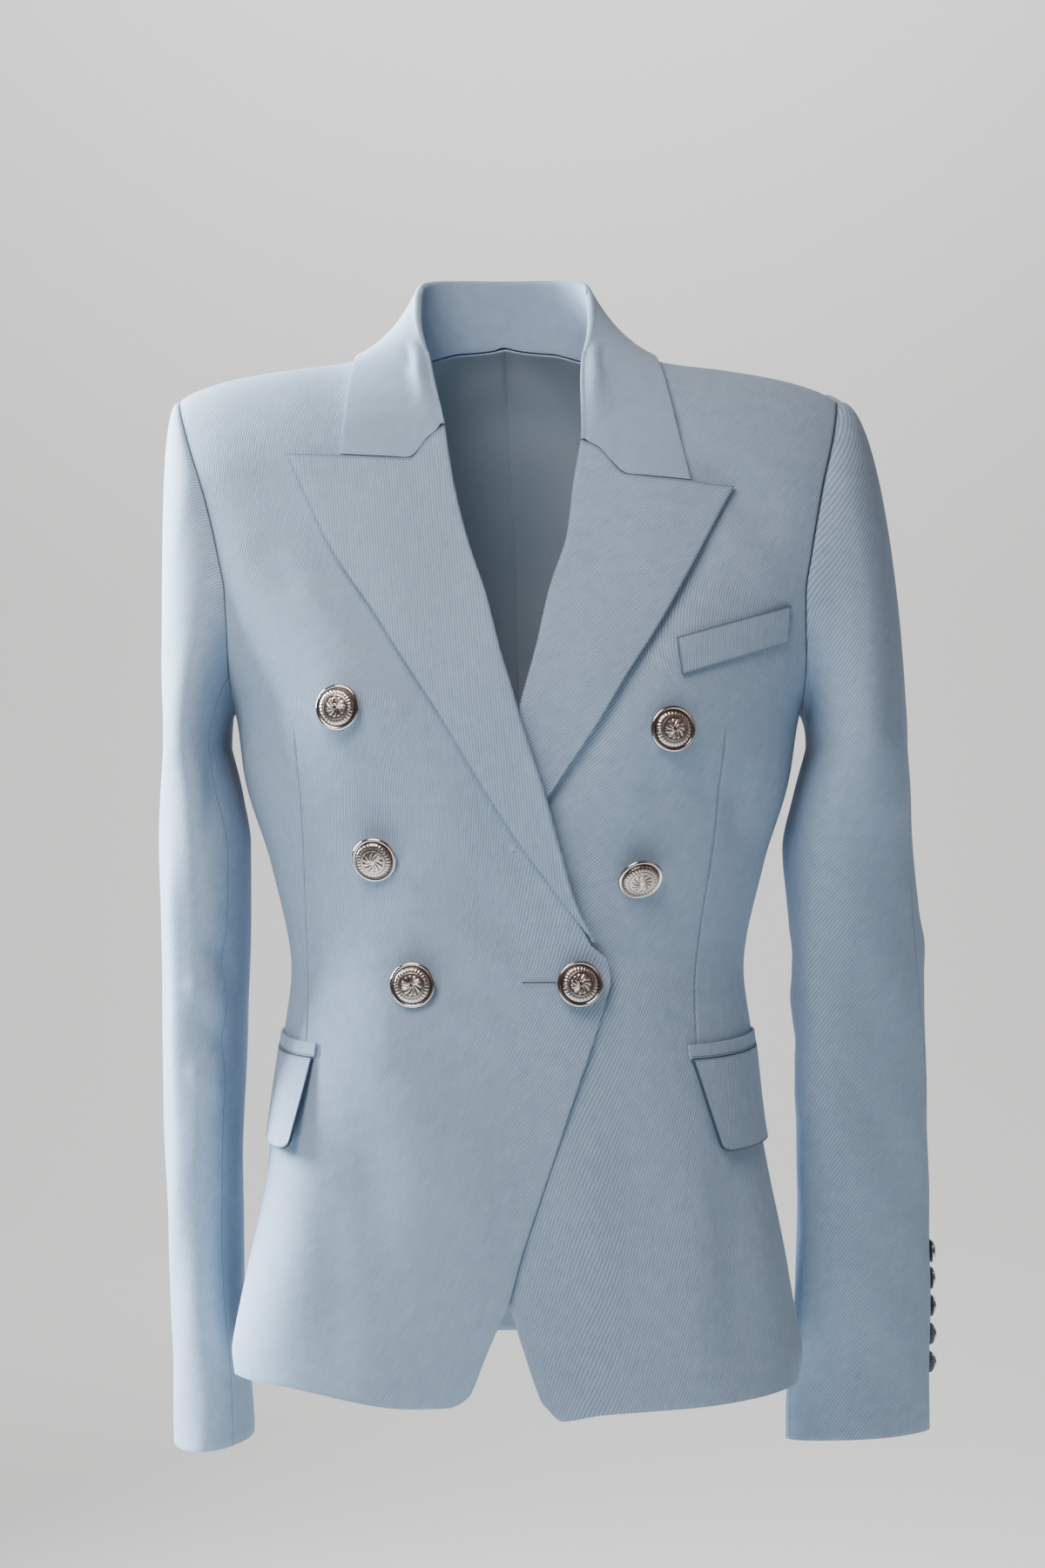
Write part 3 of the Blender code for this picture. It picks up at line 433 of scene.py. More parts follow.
print("creases:", len(FRONT_CREASES[-1]), "and", len(FRONT_CREASES[1]), "in front,", len(BACK_CREASES),
      "behind")

# %% [markdown]
# ## From a field of points to a piece of cloth
# A grid is laid out with one bmesh operator and its vertices are moved to the points. A Solidify modifier
# gives the wall and a Bevel its soft edges. The UV map is measured along the grid, and so is the flat size
# that the sheet was cut to.


# %% Making a cloth piece
def lengths(points, axis):
    """How far along its row or column each point lies, in millimetres."""
    steps = np.linalg.norm(np.diff(points, axis=axis), axis=-1)
    start = np.zeros_like(np.take(steps, [0], axis=axis))
    return np.concatenate([start, np.cumsum(steps, axis=axis)], axis=axis)


def add_piece(name, shape, *materials):
    """A new object in the scene with the shape's mesh and materials."""
    mesh = bpy.data.meshes.new(name)
    shape.to_mesh(mesh)
    shape.free()
    for material in materials:
        mesh.materials.append(material)
    piece = bpy.data.objects.new(name, mesh)
    bpy.context.scene.collection.objects.link(piece)
    return piece


def cloth_piece(name, points, along, down, replaced, wall=WALL, inside=(0, 20, 0), angle=0.0, back=None,
                seam=None, plain=0.0, grain=None):
    rows, columns = points.shape[:2]
    shape = bmesh.new()
    bmesh.ops.create_grid(shape, x_segments=columns - 1, y_segments=rows - 1, size=1)
    shape.verts.ensure_lookup_table()
    flat = points.reshape(-1, 3) * MM
    for vertex, place in zip(shape.verts, flat):
        vertex.co = place
    uvs = shape.loops.layers.uv.new("grain")
    turn = math.radians(angle)
    u, v = (along, -down) if grain is None else grain
    u, v = u.ravel() * MM, v.ravel() * MM
    u, v = u * math.cos(turn) - v * math.sin(turn), u * math.sin(turn) + v * math.cos(turn)
    for face in shape.faces:
        face.smooth = True
        for loop in face.loops:
            loop[uvs].uv = (u[loop.vert.index], v[loop.vert.index])
    # seam: painted shade, how far each vertex darkens for the shadow of a seam's groove or an edge's gap
    if seam is not None:
        layer = shape.verts.layers.float.new("seam")
        for vertex, depth in zip(shape.verts, seam.ravel()):
            vertex[layer] = depth
    if plain:
        layer = shape.verts.layers.float.new("plain")
        for vertex in shape.verts:
            vertex[layer] = plain
    last = points[:, -3:]
    normal = np.cross(last[1:, 1:] - last[:-1, :-1], last[1:, :-1] - last[:-1, 1:])
    outward = ((last[:-1, :-1] - np.array(inside)) * normal).sum()
    shape.faces.ensure_lookup_table()
    shape.normal_update()
    centre = shape.faces[columns - 2].normal
    if centre.dot(Vector(normal[0, -1] * (1 if outward > 0 else -1))) < 0:
        bmesh.ops.reverse_faces(shape, faces=shape.faces)
    piece = add_piece(name, shape, twill, back or twill)
    solid = piece.modifiers.new("wall", "SOLIDIFY")
    solid.thickness = wall * MM
    solid.offset = -1
    solid.material_offset = 1
    soft = piece.modifiers.new("soft edge", "BEVEL")
    soft.width = 0.45 * MM
    soft.segments = 2
    soft.limit_method = "ANGLE"
    soft.angle_limit = math.radians(50)
    soft.harden_normals = False
    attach(piece, "root")
    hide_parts(replaced)


# %% [markdown]
# ## Side seams, armholes and the dart
# Both fronts, the side panels and the backs meet edge to edge in closed seams. The columns of each front are
# laid so that one of them runs along the bust dart, where the cloth dips into the seam.


# %% Armhole and front panels
def armhole_turn(z, behind):
    n = back_fullness(z) if behind else front_fullness(z)
    turn = np.degrees(np.arcsin(np.minimum(1, (armhole_out(z) / half_width(z)) ** (n / 2))))
    return 180 - turn if behind else turn


def armhole_height(turn):
    """The height at which the armhole's lower curve crosses places round the body."""
    turn = np.asarray(turn, float)
    behind = turn > 90
    low, high = np.full(turn.shape, float(ARMPIT)), np.where(behind, -110.0, -100.0)
    for _ in range(30):
        middle = (low + high) / 2
        inside = np.where(behind, armhole_turn(middle, True) < turn, armhole_turn(middle, False) > turn)
        low, high = np.where(inside, middle, low), np.where(inside, high, middle)
    return low


FRONT_CORNER = float(armhole_height(FRONT_SEAM))
BACK_CORNER = float(armhole_height(BACK_SEAM))
DART = {
    -1: curve([(-224, -127), (-240, -126), (-267, -124), (-294, -123), (-330, -122), (-362, -121.5),
               (-404, -122)]),
    1: curve([(-234, 118), (-284, 113), (-337, 105), (-375, 102), (-405, 103)]),
}
DART_TOP, DART_FOOT = -222, -406
DART_SHARE = 0.62
FRONTS = {
    -1: {"edge": top_edge, "hem": top_hem, "roll": (-6, -354), "gorge": -53},
    1: {"edge": under_edge, "hem": under_hem, "roll": (-10, -378), "gorge": -62},
}
ROLL_INSET = 1.3 / 2 + WALL + 1.7   # how far a front's edge lies behind its lapel's roll line
EDGE_SHARES = np.array([0, 0.006, 0.014, 0.024])
DART_SHARES = DART_SHARE + np.array([-0.012, -0.006, -0.0028, 0, 0.0028, 0.006, 0.012])


def settle(place, shares, drop):
    """The turns of the places that lie this far down the cloth."""
    turn = place(shares, 0 * shares)
    for _ in range(6):
        turn = place(shares, height_at(turn, drop))
    return turn


def row_height(start, corner, foot, k, upper, lower):
    """The heights of row k. The upper rows end at the armhole's corner and the lower ones at the hem."""
    if k <= upper:
        return mix(start, corner, k / upper)
    return mix(corner, foot, (k - upper) / lower)


def front_panel(side, columns, rows):
    front = FRONTS[side]
    top_roll, low_roll = front["roll"]
    middle = np.linspace(0.03, 0.97, columns)
    middle = middle[np.abs(middle - DART_SHARE) > 0.014]
    shares = np.sort(np.concatenate([EDGE_SHARES, middle, DART_SHARES, 1 - EDGE_SHARES]))

    def near(z):
        inset = ROLL_INSET * ease((top_roll - z) / 18) * ease((z - low_roll) / 6)
        inset = inset + 3.0 * np.exp(-((z - front["gorge"]) / 16) ** 2)
        return turn_at(side, side * (front["edge"](z) + inset), z)

    def place(share, z):
        start = near(z)
        armhole = np.minimum(FRONT_SEAM, armhole_turn(z, False))
        end = np.where(z < FRONT_CORNER, FRONT_SEAM, armhole) - SEAM_TURN
        dart = (turn_at(side, DART[side](z), z) - start) / (end - start)
        across = np.where(share < DART_SHARE, dart * share / DART_SHARE,
                          mix(dart, 1, (share - DART_SHARE) / (1 - DART_SHARE)))
        return mix(start, end, across)

    turns, drops = [], []
    for share in np.linspace(0.008, 1, rows // 5, endpoint=False):
        turns.append(settle(place, shares, share * ARC))
        drops.append(np.full(shares.shape, share * ARC))
    start = height_at(settle(place, shares, ARC), ARC)
    foot_turn = place(shares, np.full(shares.shape, float(SIDE_HEM)))
    foot = front["hem"](side * cloth(side, foot_turn, drop_at(foot_turn, SIDE_HEM))[..., 0])
    upper, lower = rows // 4, rows * 11 // 20
    for k in range(upper + lower + 1):
        z = row_height(start, FRONT_CORNER, foot, k, upper, lower)
        turns.append(place(shares, z))
        drops.append(drop_at(turns[-1], z))
    turns, drops = np.array(turns), np.array(drops)
    z = height_at(turns, drops)
    seam = ease((DART_TOP - z) / 12) * ease((z - DART_FOOT) / 4)
    line = np.exp(-((shares - DART_SHARE) / 0.0034) ** 2) * seam
    base = cloth(side, turns, drops)
    dip = valley(side, base[..., 0], z) - 0.8 * line
    corner = len(turns) - lower - 1
    # painted shade: a dark line down the dart's groove and along the armhole seam
    line = 0.3 * line
    line[:corner + 1, -1] = 0.9
    line[:corner + 1, -2] = 0.3
    return turns, drops, on_drop(side, turns, drops, dip), corner, line


ARMHOLES = {}
for side, name, node_name in ((-1, "right_front", "front_top"), (1, "left_front", "front_under")):
    turns, drops, points, corner, seam_shade = front_panel(side, 78, 210)
    ARMHOLES[side] = [points[:corner + 1, -1]]
    across = lengths(points[:, ::-1], 1)[:, ::-1]
    cloth_piece(name, points, -side * across, drops, node_name, back=lining, seam=seam_shade)

# %% [markdown]
# ## Side and back panels
# The photograph doesn't show these. They continue the front's surface round the body, with the same seams and
# fullness, two backs meeting in a centre seam shaped to the waist.


# %% Side and back panels
def side_panel(side, columns=26, rows=150):
    shares = np.linspace(0, 1, columns)
    turn = mix(FRONT_SEAM + SEAM_TURN, BACK_SEAM - SEAM_TURN, shares)
    top, hem = armhole_height(turn), mix(SIDE_HEM, BACK_HEM, shares)
    z = np.array([mix(top, hem, k / (rows - 1)) for k in range(rows)])
    turns = np.broadcast_to(turn, z.shape)
    drops = drop_at(turns, z)
    return drops, on_drop(side, turns, drops)


NECK = 62                   # half width of the back neck
NECK_ROLL = 44              # degrees down the back at which the neckline crosses the centre


def neck_share(out):
    return np.sqrt(np.maximum(0, 1 - (out / NECK) ** 2))


def back_panel(side, columns=60, rows=170):
    shares = np.linspace(0, 1, columns)

    def place(share, z):
        armhole = np.maximum(BACK_SEAM, armhole_turn(z, True))
        end = np.where(z < BACK_CORNER, BACK_SEAM, armhole) + SEAM_TURN
        return mix(180 + CENTRE_OVERLAP, end, share)

    out = outline(place(shares, 0 * shares), 0)[0]
    first = np.where(out < NECK, mix(0.008, NECK_ROLL / 90, neck_share(out)), 0.008)
    turns, drops = [], []
    for share in np.linspace(0, 1, rows // 6, endpoint=False):
        drops.append(ARC * mix(first, 1, share))
        turns.append(settle(place, shares, drops[-1]))
    start = height_at(settle(place, shares, ARC), ARC)
    upper, lower = rows // 5, rows * 3 // 5
    for k in range(upper + lower + 1):
        z = row_height(start, BACK_CORNER, BACK_HEM, k, upper, lower)
        turns.append(place(shares, z))
        drops.append(drop_at(turns[-1], z))
    turns, drops = np.array(turns), np.array(drops)
    return drops, on_drop(side, turns, drops), len(turns) - lower - 1


for side, worn, label in SIDES:
    drops, points = side_panel(side)
    ARMHOLES[side].append(points[0, 1:-1])
    cloth_piece(f"{worn}_side_panel", points, side * lengths(points, 1), drops, f"side_{label}", back=lining)
    drops, points, corner = back_panel(side)
    ARMHOLES[side].append(points[:corner + 1, -1][::-1])
    cloth_piece(f"{worn}_back", points, -side * lengths(points, 1), drops, f"back_{label}", back=lining)

# %% [markdown]
# ## Lapels
# A lapel is the front's edge folded over at the roll line. Here it is a piece of its own that starts at the
# front's edge, turns round the roll and lies over the chest, bowed a little where it is broad. The peak's
# upper edge follows the seam to the collar.

# %% Lapels
LAPEL_ROLL = 1.3
GORGE = {
    # share of the width, x and z of the seam between lapel and collar
    -1: [(0.0, 41, -53), (0.13, 51.5, -62), (0.25, 61, -73), (0.62, 100, -71), (1.0, 131, -69)],
    1: [(0.0, 36, -62), (0.13, 46, -67), (0.27, 61, -82), (0.66, 98, -85), (1.0, 124, -87)],
}
PUFF = {-1: 2.6, 1: 1.6}     # how far each lapel bows out where it is broad
LAPEL_PIECES = (
    # side, names in the scene and in the solids, degrees that its ribs lean
    (-1, "right_lapel", "lapel_top", -29), (1, "left_lapel", "lapel_under", 33),
)


def rim(points, top, bottom, start, end):
    """A dark line of painted shade along the four edges, each as strong as stated."""
    line = np.zeros(points.shape[:2])
    line[:, 0], line[:, -1], line[0], line[-1] = start, end, top, bottom
    return line


def lapel(side, rows=110, columns=44):
    fold = LAPEL_ROLL / 2 + WALL
    s = np.linspace(0, 0.97, rows)[:, None]
    roll_x, roll_z, edge_x, edge_z = (curve(LAPELS[side], k)(s) for k in (1, 2, 3, 4))
    width = np.hypot(edge_x - roll_x, edge_z - roll_z)
    aim_x, aim_z = (edge_x - roll_x) / width, (edge_z - roll_z) / width
    angles = np.radians(np.linspace(-90, -270, 11))[None, :]
    ends = np.linspace(0, 1, columns + 1)[1:][None, :]
    distance = np.concatenate([fold + fold * np.cos(angles) + 0 * s, mix(fold, width, ends)], axis=1)
    round_out = LAPEL_ROLL / 2 + fold * np.sin(angles) + 0 * s
    t = distance[:, angles.size:] / width
    bow = PUFF[side] * np.sin(math.pi * np.minimum(1, t)) * (1 - ease(s / 0.75))
    rise = REST + (LAPEL_ROLL - REST) * (1 - ease(t * 3)) + bow + WALL
    rise = rise + 0.9 * ease((t - 0.8) / 0.2) * ease((0.3 - s) / 0.3)
    out = np.concatenate([round_out, rise], axis=1)
    share = np.clip(distance / width, 0, 1)
    bend = (1 - ease(s / 0.09)) * (distance > 0)
    (_, x0, z0), (_, x1, z1) = GORGE[side][0], GORGE[side][-1]
    x = roll_x + aim_x * distance + bend * (curve(GORGE[side], 1)(share) - mix(x0, x1, share))
    z = roll_z + aim_z * distance + bend * (curve(GORGE[side], 2)(share) - mix(z0, z1, share))
    return on_front(side, side * x, z, out)


# painted shade along each lapel's top edge and outer edge
for side, name, node_name, angle in LAPEL_PIECES:
    points = lapel(side)
    cloth_piece(name, points, side * lengths(points, 1), lengths(points, 0), node_name, angle=angle,
                grain=(points[..., 0], points[..., 2]), seam=rim(points, 0.55, 0, 0, 0.55))

# %% [markdown]
# ## Collar
# Stand, roll and fall are one cloth, folded over the roll line. Sections of it are placed along the neck
# seam, from one gorge round the back to the other, and the piece is drawn through them.

# %% Collar
COLLAR = [
    # share of the way to the centre back, roll line out, back and up, outer edge out, degrees down
    (0.00, 37, -84, -54, 96, 84), (0.14, 40, -76, -34, 92, 56), (0.30, 44, -50, -9, 89, 32),
    (0.45, 50, -17, 17, 86, 4), (0.58, 51, 16, 37, 80, -22), (0.70, 49, 36, 47, 64, -40),
    (0.82, 38, 50, 51, 44, -53), (0.92, 20, 57, 52, 22, -62), (1.00, 0, 59, 52, 0, -65),
]
COLLAR_WALL, GORGE_GAP = 2.0, 0.5
STAND_GAP, FALL_CLEAR, FALL_EASE, FALL_BOW = 1.1, 2.4, 1.0, 1.2
FALL_SHARES = (0.1, 0.21, 0.3, 0.4, 0.55, 0.71, 0.86, 1.0)
collar_curves = [curve(COLLAR, k) for k in range(1, 6)]


def settle_turn(out, drop, behind):
    turn = 160.0 if behind else 20.0
    for _ in range(8):
        z = height_at(turn, drop)
        turn = turn_at(1, out + lean(z), z, behind)
    return turn


def neck_place(side, share):
    turning = COLLAR[3][0]
    if share < turning:
        z = mix(FRONTS[side]["gorge"], 0, share / turning)
        turn = turn_at(side, side * FRONTS[side]["edge"](z), z)
        return turn, drop_at(turn, z)
    out = NECK * math.cos((share - turning) / (1 - turning) * math.pi / 2)
    drop = ROUND * math.radians(NECK_ROLL) * neck_share(out)
    return settle_turn(out, drop, True), drop


def collar_section(side, share):
    roll_out, roll_y, roll_z, edge_out, edge_roll = (float(c(share)) for c in collar_curves)
    roll = point(lean(roll_z) + side * roll_out, roll_y, roll_z)
    gorge_x, gorge_z = curve(GORGE[side], 1), curve(GORGE[side], 2)
    start = on_front(side, side * gorge_x(0), gorge_z(0) + GORGE_GAP, 0.6)
    stated = point(lean(COLLAR[0][3]) + side * COLLAR[0][1], *COLLAR[0][2:4])
    roll = roll + (start - stated) * (1 - ease(share / 0.3))
    neck_turn, neck_drop = neck_place(side, share)
    neck = on_drop(side, neck_turn, neck_drop, -WALL / 2)
    behind = edge_roll < 0
    apart = float(ease(share / 0.16))           # 0 at the gorge, where there is no stand under the fall
    fold, above = mix(1.4, 1.9, apart), mix(1.5, FALL_CLEAR, apart)
    rim_drop = ROUND * math.radians(abs(edge_roll))
    rim_turn = settle_turn(edge_out, rim_drop, behind)
    if neck_turn > 90 and not behind:
        neck_turn = 180 - neck_turn
    edge = on_drop(side, rim_turn, rim_drop, above)
    seam = neck + unit(roll - neck) * STAND_GAP
    outward = unit(point(roll[0] - lean(0), roll[1], 0))
    wide = GORGE[side][3][0]
    if share == 0:
        outward = body_normal(side, neck_turn, neck_drop)
        seam = on_front(side, side * (gorge_x(0) + 2.6), gorge_z(0) + GORGE_GAP + 1, -WALL / 2)
        edge = on_front(side, side * gorge_x(wide), gorge_z(wide) + GORGE_GAP, above)
    tip = -unit(unit(seam - roll) + unit(edge - roll))
    across = unit(outward - tip * outward.dot(tip))
    centre = roll - tip * (fold + COLLAR_WALL / 2)
    line = [mix(seam, centre - across * fold, t) for t in (0, 0.3, 0.55, 0.8)]
    for angle in np.radians(np.linspace(180, 0, 9)):
        line.append(centre + across * fold * math.cos(angle) + tip * fold * math.sin(angle))
    top = line[-1]
    for t in FALL_SHARES:
        spot = mix(top, edge, t) + across * FALL_BOW * 4 * t * (1 - t)
        turn, drop = mix(neck_turn, rim_turn, t), mix(neck_drop, rim_drop, t)
        bow = (1 - apart) * PUFF[side] * 0.9 * math.sin(math.pi * t * 0.62)
        clear = above + bow + (apart * FALL_EASE + (1 - apart) * 0.5) * (1 - t) ** 2
        if share == 0:
            x, z = gorge_x(wide * t), gorge_z(wide * t) + GORGE_GAP
            turn = turn_at(side, side * x, z)
            drop = drop_at(turn, z)
            spot = on_drop(side, turn, drop, clear)
        normal = body_normal(side, turn, drop)
        depth = (on_drop(side, turn, drop, clear) - spot).dot(normal)
        line.append(spot + normal * max(0, depth))
    return np.array(line)


def through(points, count, axis):
    """The points resampled along an axis, on smooth curves through them."""
    points = np.moveaxis(points, axis, 0)
    n = len(points)
    at = np.linspace(0, n - 1, count)
    k = np.clip(at.astype(int), 0, n - 2)
    t = (at - k)[:, None, None]
    a, b, c, d = (points[np.clip(k + step, 0, n - 1)] for step in (-1, 0, 1, 2))
    result = 0.5 * (2 * b + (c - a) * t + (2 * a - 5 * b + 4 * c - d) * t ** 2
                    + (3 * b - a - 3 * c + d) * t ** 3)
    return np.moveaxis(result, 0, axis)


stations = []
for row, after in zip(COLLAR, COLLAR[1:]):
    stations += [mix(row[0], after[0], t) for t in ((0, 0.33, 0.67) if row is COLLAR[0] else (0, 0.5))]
left = [collar_section(-1, share) for share in stations + [1.0]]
right = [collar_section(1, share) for share in stations]
left[-1][:, 0] = lean(50)
grid = through(through(np.array(left + right[::-1]), 190, 0), 52, 1)
face = unit(np.cross(np.gradient(grid, axis=1), np.gradient(grid, axis=0)))
outer = grid + face * COLLAR_WALL / 2
if ((outer[:, -1] - grid[:, -1]) * (grid[:, -1] - np.array([lean(0), 0, -20]))).sum() < 0:
    outer = grid - face * COLLAR_WALL / 2
cloth_piece("collar_cloth", outer, lengths(outer, 0), -lengths(outer, 1), "collar", wall=COLLAR_WALL,
            angle=90, plain=0.8, inside=(-6, 0, -20))

# %% [markdown]
# ## Sleeves
# Each sleeve is a wide top sleeve and a narrow under sleeve. Its rings are ovals that lean and turn on the
# way down, and the cap blends from the armhole's own curve into the first of them.

# %% Sleeve tables
LEFT_SLEEVE = [
    # height, inner side, outer side, depth centre, half depth, lean and turn of the section in degrees
    (-236, 172, 211, 3, 74, -2, -14), (-265, 164, 213, 5, 70, -4, -14), (-293, 159, 214, 8, 68, -6, -14),
    (-350, 160.5, 215, 16, 64, -8, -14), (-425, 163.5, 216, 28, 60, -10, -14),
    (-486, 166, 215.5, 37, 58, -12, -14), (-530, 167, 215, 44, 57, -12, -14),
    (-570, 166, 213, 49, 56, -12, -14), (-611, 163.5, 211.5, 53, 55.5, -12, -14),
    (-650, 161, 211.5, 56, 55.5, -12, -14),
]
RIGHT_SLEEVE = [
    (-236, 172, 232.5, 2, 69, -4, 22), (-265, 163.5, 236, 6, 66, -10, 42),
    (-293, 158, 239.5, 11, 61, -18, 54),
    (-330, 160.5, 244, 17, 57, -25, 60), (-380, 163.5, 249, 26, 53, -32, 56),
    (-430, 166, 252, 35, 49, -38, 46),
    (-480, 168, 254.5, 43, 46, -43, 32), (-530, 168, 256, 50, 42, -48, 20),
    (-580, 166, 257, 55, 40, -52, 10),
    (-620, 163.5, 257.5, 58, 38.5, -54, 4), (-656, 162.5, 257.7, 59, 38, -55, 0),
]
SLEEVES = {-1: [curve(LEFT_SLEEVE, k) for k in range(1, 7)], 1: [curve(RIGHT_SLEEVE, k) for k in range(1, 7)]}
HEAD_OUT = {-1: 52, 1: 88}
CUFF_SLANT = {-1: 4, 1: 3.5}
SLEEVE_TOP, SLEEVE_FOOT = -236, -656
FORE_SEAM, HIND_SEAM = {-1: 0.40, 1: 0.45}, 0.93
GIRTH = 230                 # millimetres round a sleeve
TUCK = 0.8                  # how far a sleeve's top edge lies under the armhole's edge
# from share round, z to share round, z, bow, half width, height
SLEEVE_CREASES = {
    -1: [(0.28, -350, 0.46, -372, 4, 8, -2.4), (0.24, -372, 0.44, -396, 4, 8, 2.0),
         (0.26, -396, 0.45, -420, 4, 8, -2.2), (0.24, -424, 0.42, -446, 4, 8, 1.6),
         (0.18, -250, 0.20, -560, 6, 8, 1.6), (0.08, -300, 0.10, -600, 5, 14, -1.2),
         (0.40, -236, 0.30, -300, 4, 9, -1.8), (0.70, -330, 0.88, -372, 5, 9, 1.6),
         (0.66, -380, 0.86, -410, 5, 9, -1.6)],
    1: [(0.30, -352, 0.50, -372, 4, 8, -1.2), (0.26, -378, 0.48, -400, 4, 8, 1.0),
        (0.28, -404, 0.47, -428, 4, 8, -1.1), (0.22, -430, 0.42, -456, 4, 8, 0.9),
        (0.18, -260, 0.22, -560, 6, 10, 1.4), (0.06, -300, 0.10, -600, 5, 14, -1.2),
        (0.40, -236, 0.30, -300, 4, 9, -1.8), (0.70, -330, 0.88, -372, 5, 9, 1.6),
        (0.66, -380, 0.86, -410, 5, 9, -1.6)],
}


# %% Sleeves
def section_point(side, z, share):
    """A point of the sleeve's section. Share 0 is the outer side, 0.25 the front, 0.5 the body."""
    inner, outer, middle, half_depth, tilt, twist = (c(z) for c in SLEEVES[side])
    angle = np.radians(360 * share + twist)
    x = (inner + outer) / 2 + (outer - inner) / 2 * np.cos(angle)
    y = middle - half_depth * np.sin(angle + np.radians(tilt))
    rise = CUFF_SLANT[side] * np.cos(angle) * ease((-560 - z) / 80)
    return point(side * x, y, z - rise)


def sleeve_relief(side, z, share):
    around = np.mod(share, 1.0)
    rows = [(a * GIRTH, b, c * GIRTH, d, e, f, g) for a, b, c, d, e, f, g in SLEEVE_CREASES[side]]
    slow = 0.4 * np.sin(share * 19 + z * 0.041) + 0.3 * np.sin(share * 31 - z * 0.067 + side)
    return (creases(rows, around * GIRTH, z) + slow) * ease((-150 - z) / 60)


def sleeve_part(side, first, last, columns, cap_rows=40, rows=150):
    loop = np.concatenate(ARMHOLES[side])
    along = np.concatenate([[0], np.cumsum(np.linalg.norm(np.diff(loop, axis=0), axis=1))])
    bottom = int(np.argmin(loop[:, 2]))
    share_of = np.where(along <= along[bottom], 0.5 * along / along[bottom],
                        0.5 + 0.5 * (along - along[bottom]) / (along[-1] - along[bottom] + 8))
    shares = np.concatenate([[first, first + 0.0025], np.linspace(first, last, columns)[1:-1],
                             [last - 0.0025, last]])
    around = np.mod(shares, 1.0)
    closed = np.append(share_of, 1.0)
    start = np.stack([np.interp(around, closed, np.append(loop[:, k], loop[0, k])) for k in range(3)], axis=1)
    top, front = np.cos(2 * math.pi * shares), np.sin(2 * math.pi * shares)
    leave = unit(point(side * 1.0, -0.22 * front, 0.55 * np.maximum(0, top) - 1.6 * np.maximum(0, -top)))
    leave = leave * mix(16, HEAD_OUT[side], ease((top + 1) / 2))[:, None]
    end = section_point(side, float(SLEEVE_TOP), shares)
    begin = start + unit(loop.mean(axis=0) - start) * TUCK
    arrive = point(0, 0, -1) * np.linalg.norm(end - begin, axis=1)[:, None]
    grid = []
    for t in (np.arange(cap_rows) / cap_rows) ** 1.25:
        grid.append(begin * (1 + 2 * t) * (1 - t) ** 2 + end * t * t * (3 - 2 * t)
                    + leave * t * (1 - t) ** 2 - arrive * t * t * (1 - t))
    for z in np.linspace(SLEEVE_TOP, SLEEVE_FOOT, rows):
        grid.append(section_point(side, z, shares))
    grid = np.array(grid)
    normal = unit(np.cross(np.gradient(grid, axis=0), np.gradient(grid, axis=1)) * -side)
    lift = sleeve_relief(side, grid[..., 2], np.broadcast_to(shares, grid.shape[:2]))
    grid = grid + normal * lift[..., None]
    # painted shade along the armhole seam and the fore and hind seams
    line = np.zeros(grid.shape[:2])
    line[:2] = 0.9
    line[:, [0, -1]] = 0.6
    down = lengths(grid, 0)
    ribs = (-side * GIRTH * np.broadcast_to(shares, grid.shape[:2]), down[-1:] - down)
    return grid, line, ribs


for side, worn, label in SIDES:
    centre = (side * 190, 30, -350)
    top, seam_shade, ribs = sleeve_part(side, HIND_SEAM - 1, FORE_SEAM[side], 90)
    cloth_piece(f"{worn}_top_sleeve", top, -side * lengths(top, 1), -top[..., 2], f"top_sleeve_{label}",
                back=lining, inside=centre, angle=8, seam=seam_shade, grain=ribs)
    under, seam_shade, ribs = sleeve_part(side, FORE_SEAM[side], HIND_SEAM, 84)
    cloth_piece(f"{worn}_under_sleeve", under, -side * lengths(under, 1), -under[..., 2],
                f"under_sleeve_{label}", back=lining, inside=centre, angle=8, seam=seam_shade, grain=ribs)

# %% [markdown]
# ## Pockets
# The breast welt, the jets and the flaps lie on the fronts, so they are made from the fronts' own points
# moved out. The right flap's front corner stands off; the dark gap along the flaps' edges is painted shade.

# %% Pockets
POCKET_FROM = {-1: 53.5, 1: 41.5}
POCKET_TO = {-1: 122, 1: 113}
JET = {"top": -405.5, "bottom": -413.6, "rise": 4}
FLAP = {"inset": 1, "top": -414, "bottom": -467, "wall": 2.0}
FLAP_SLANT, FLAP_LIFT = {-1: 1.5, 1: 6.5}, {-1: 5.0, 1: 1.6}
CORNER = 0.075              # share of a flap's length that its rounded lower corners take


def pocket_strip(start, end, top, bottom, slant, lift, rows, corner):
    s = np.linspace(0, 1, 90)[None, :]
    t = np.linspace(0, 1, rows)[:, None]
    from_end = np.minimum(s, 1 - s) / corner if corner else 1 + 0 * s
    full = 1 - 0.1 * (1 - np.sqrt(np.clip(1 - (1 - np.minimum(1, from_end)) ** 2, 0, 1)))
    turn = mix(start, end, s) + slant * t * (1 - s)
    z = mix(top, bottom, t * full) + JET["rise"] * ease(s * 1.4)
    return turn, z, REST + lift * t * (1 - ease(s * 2.5)) + (0.9 if lift else 0) * t


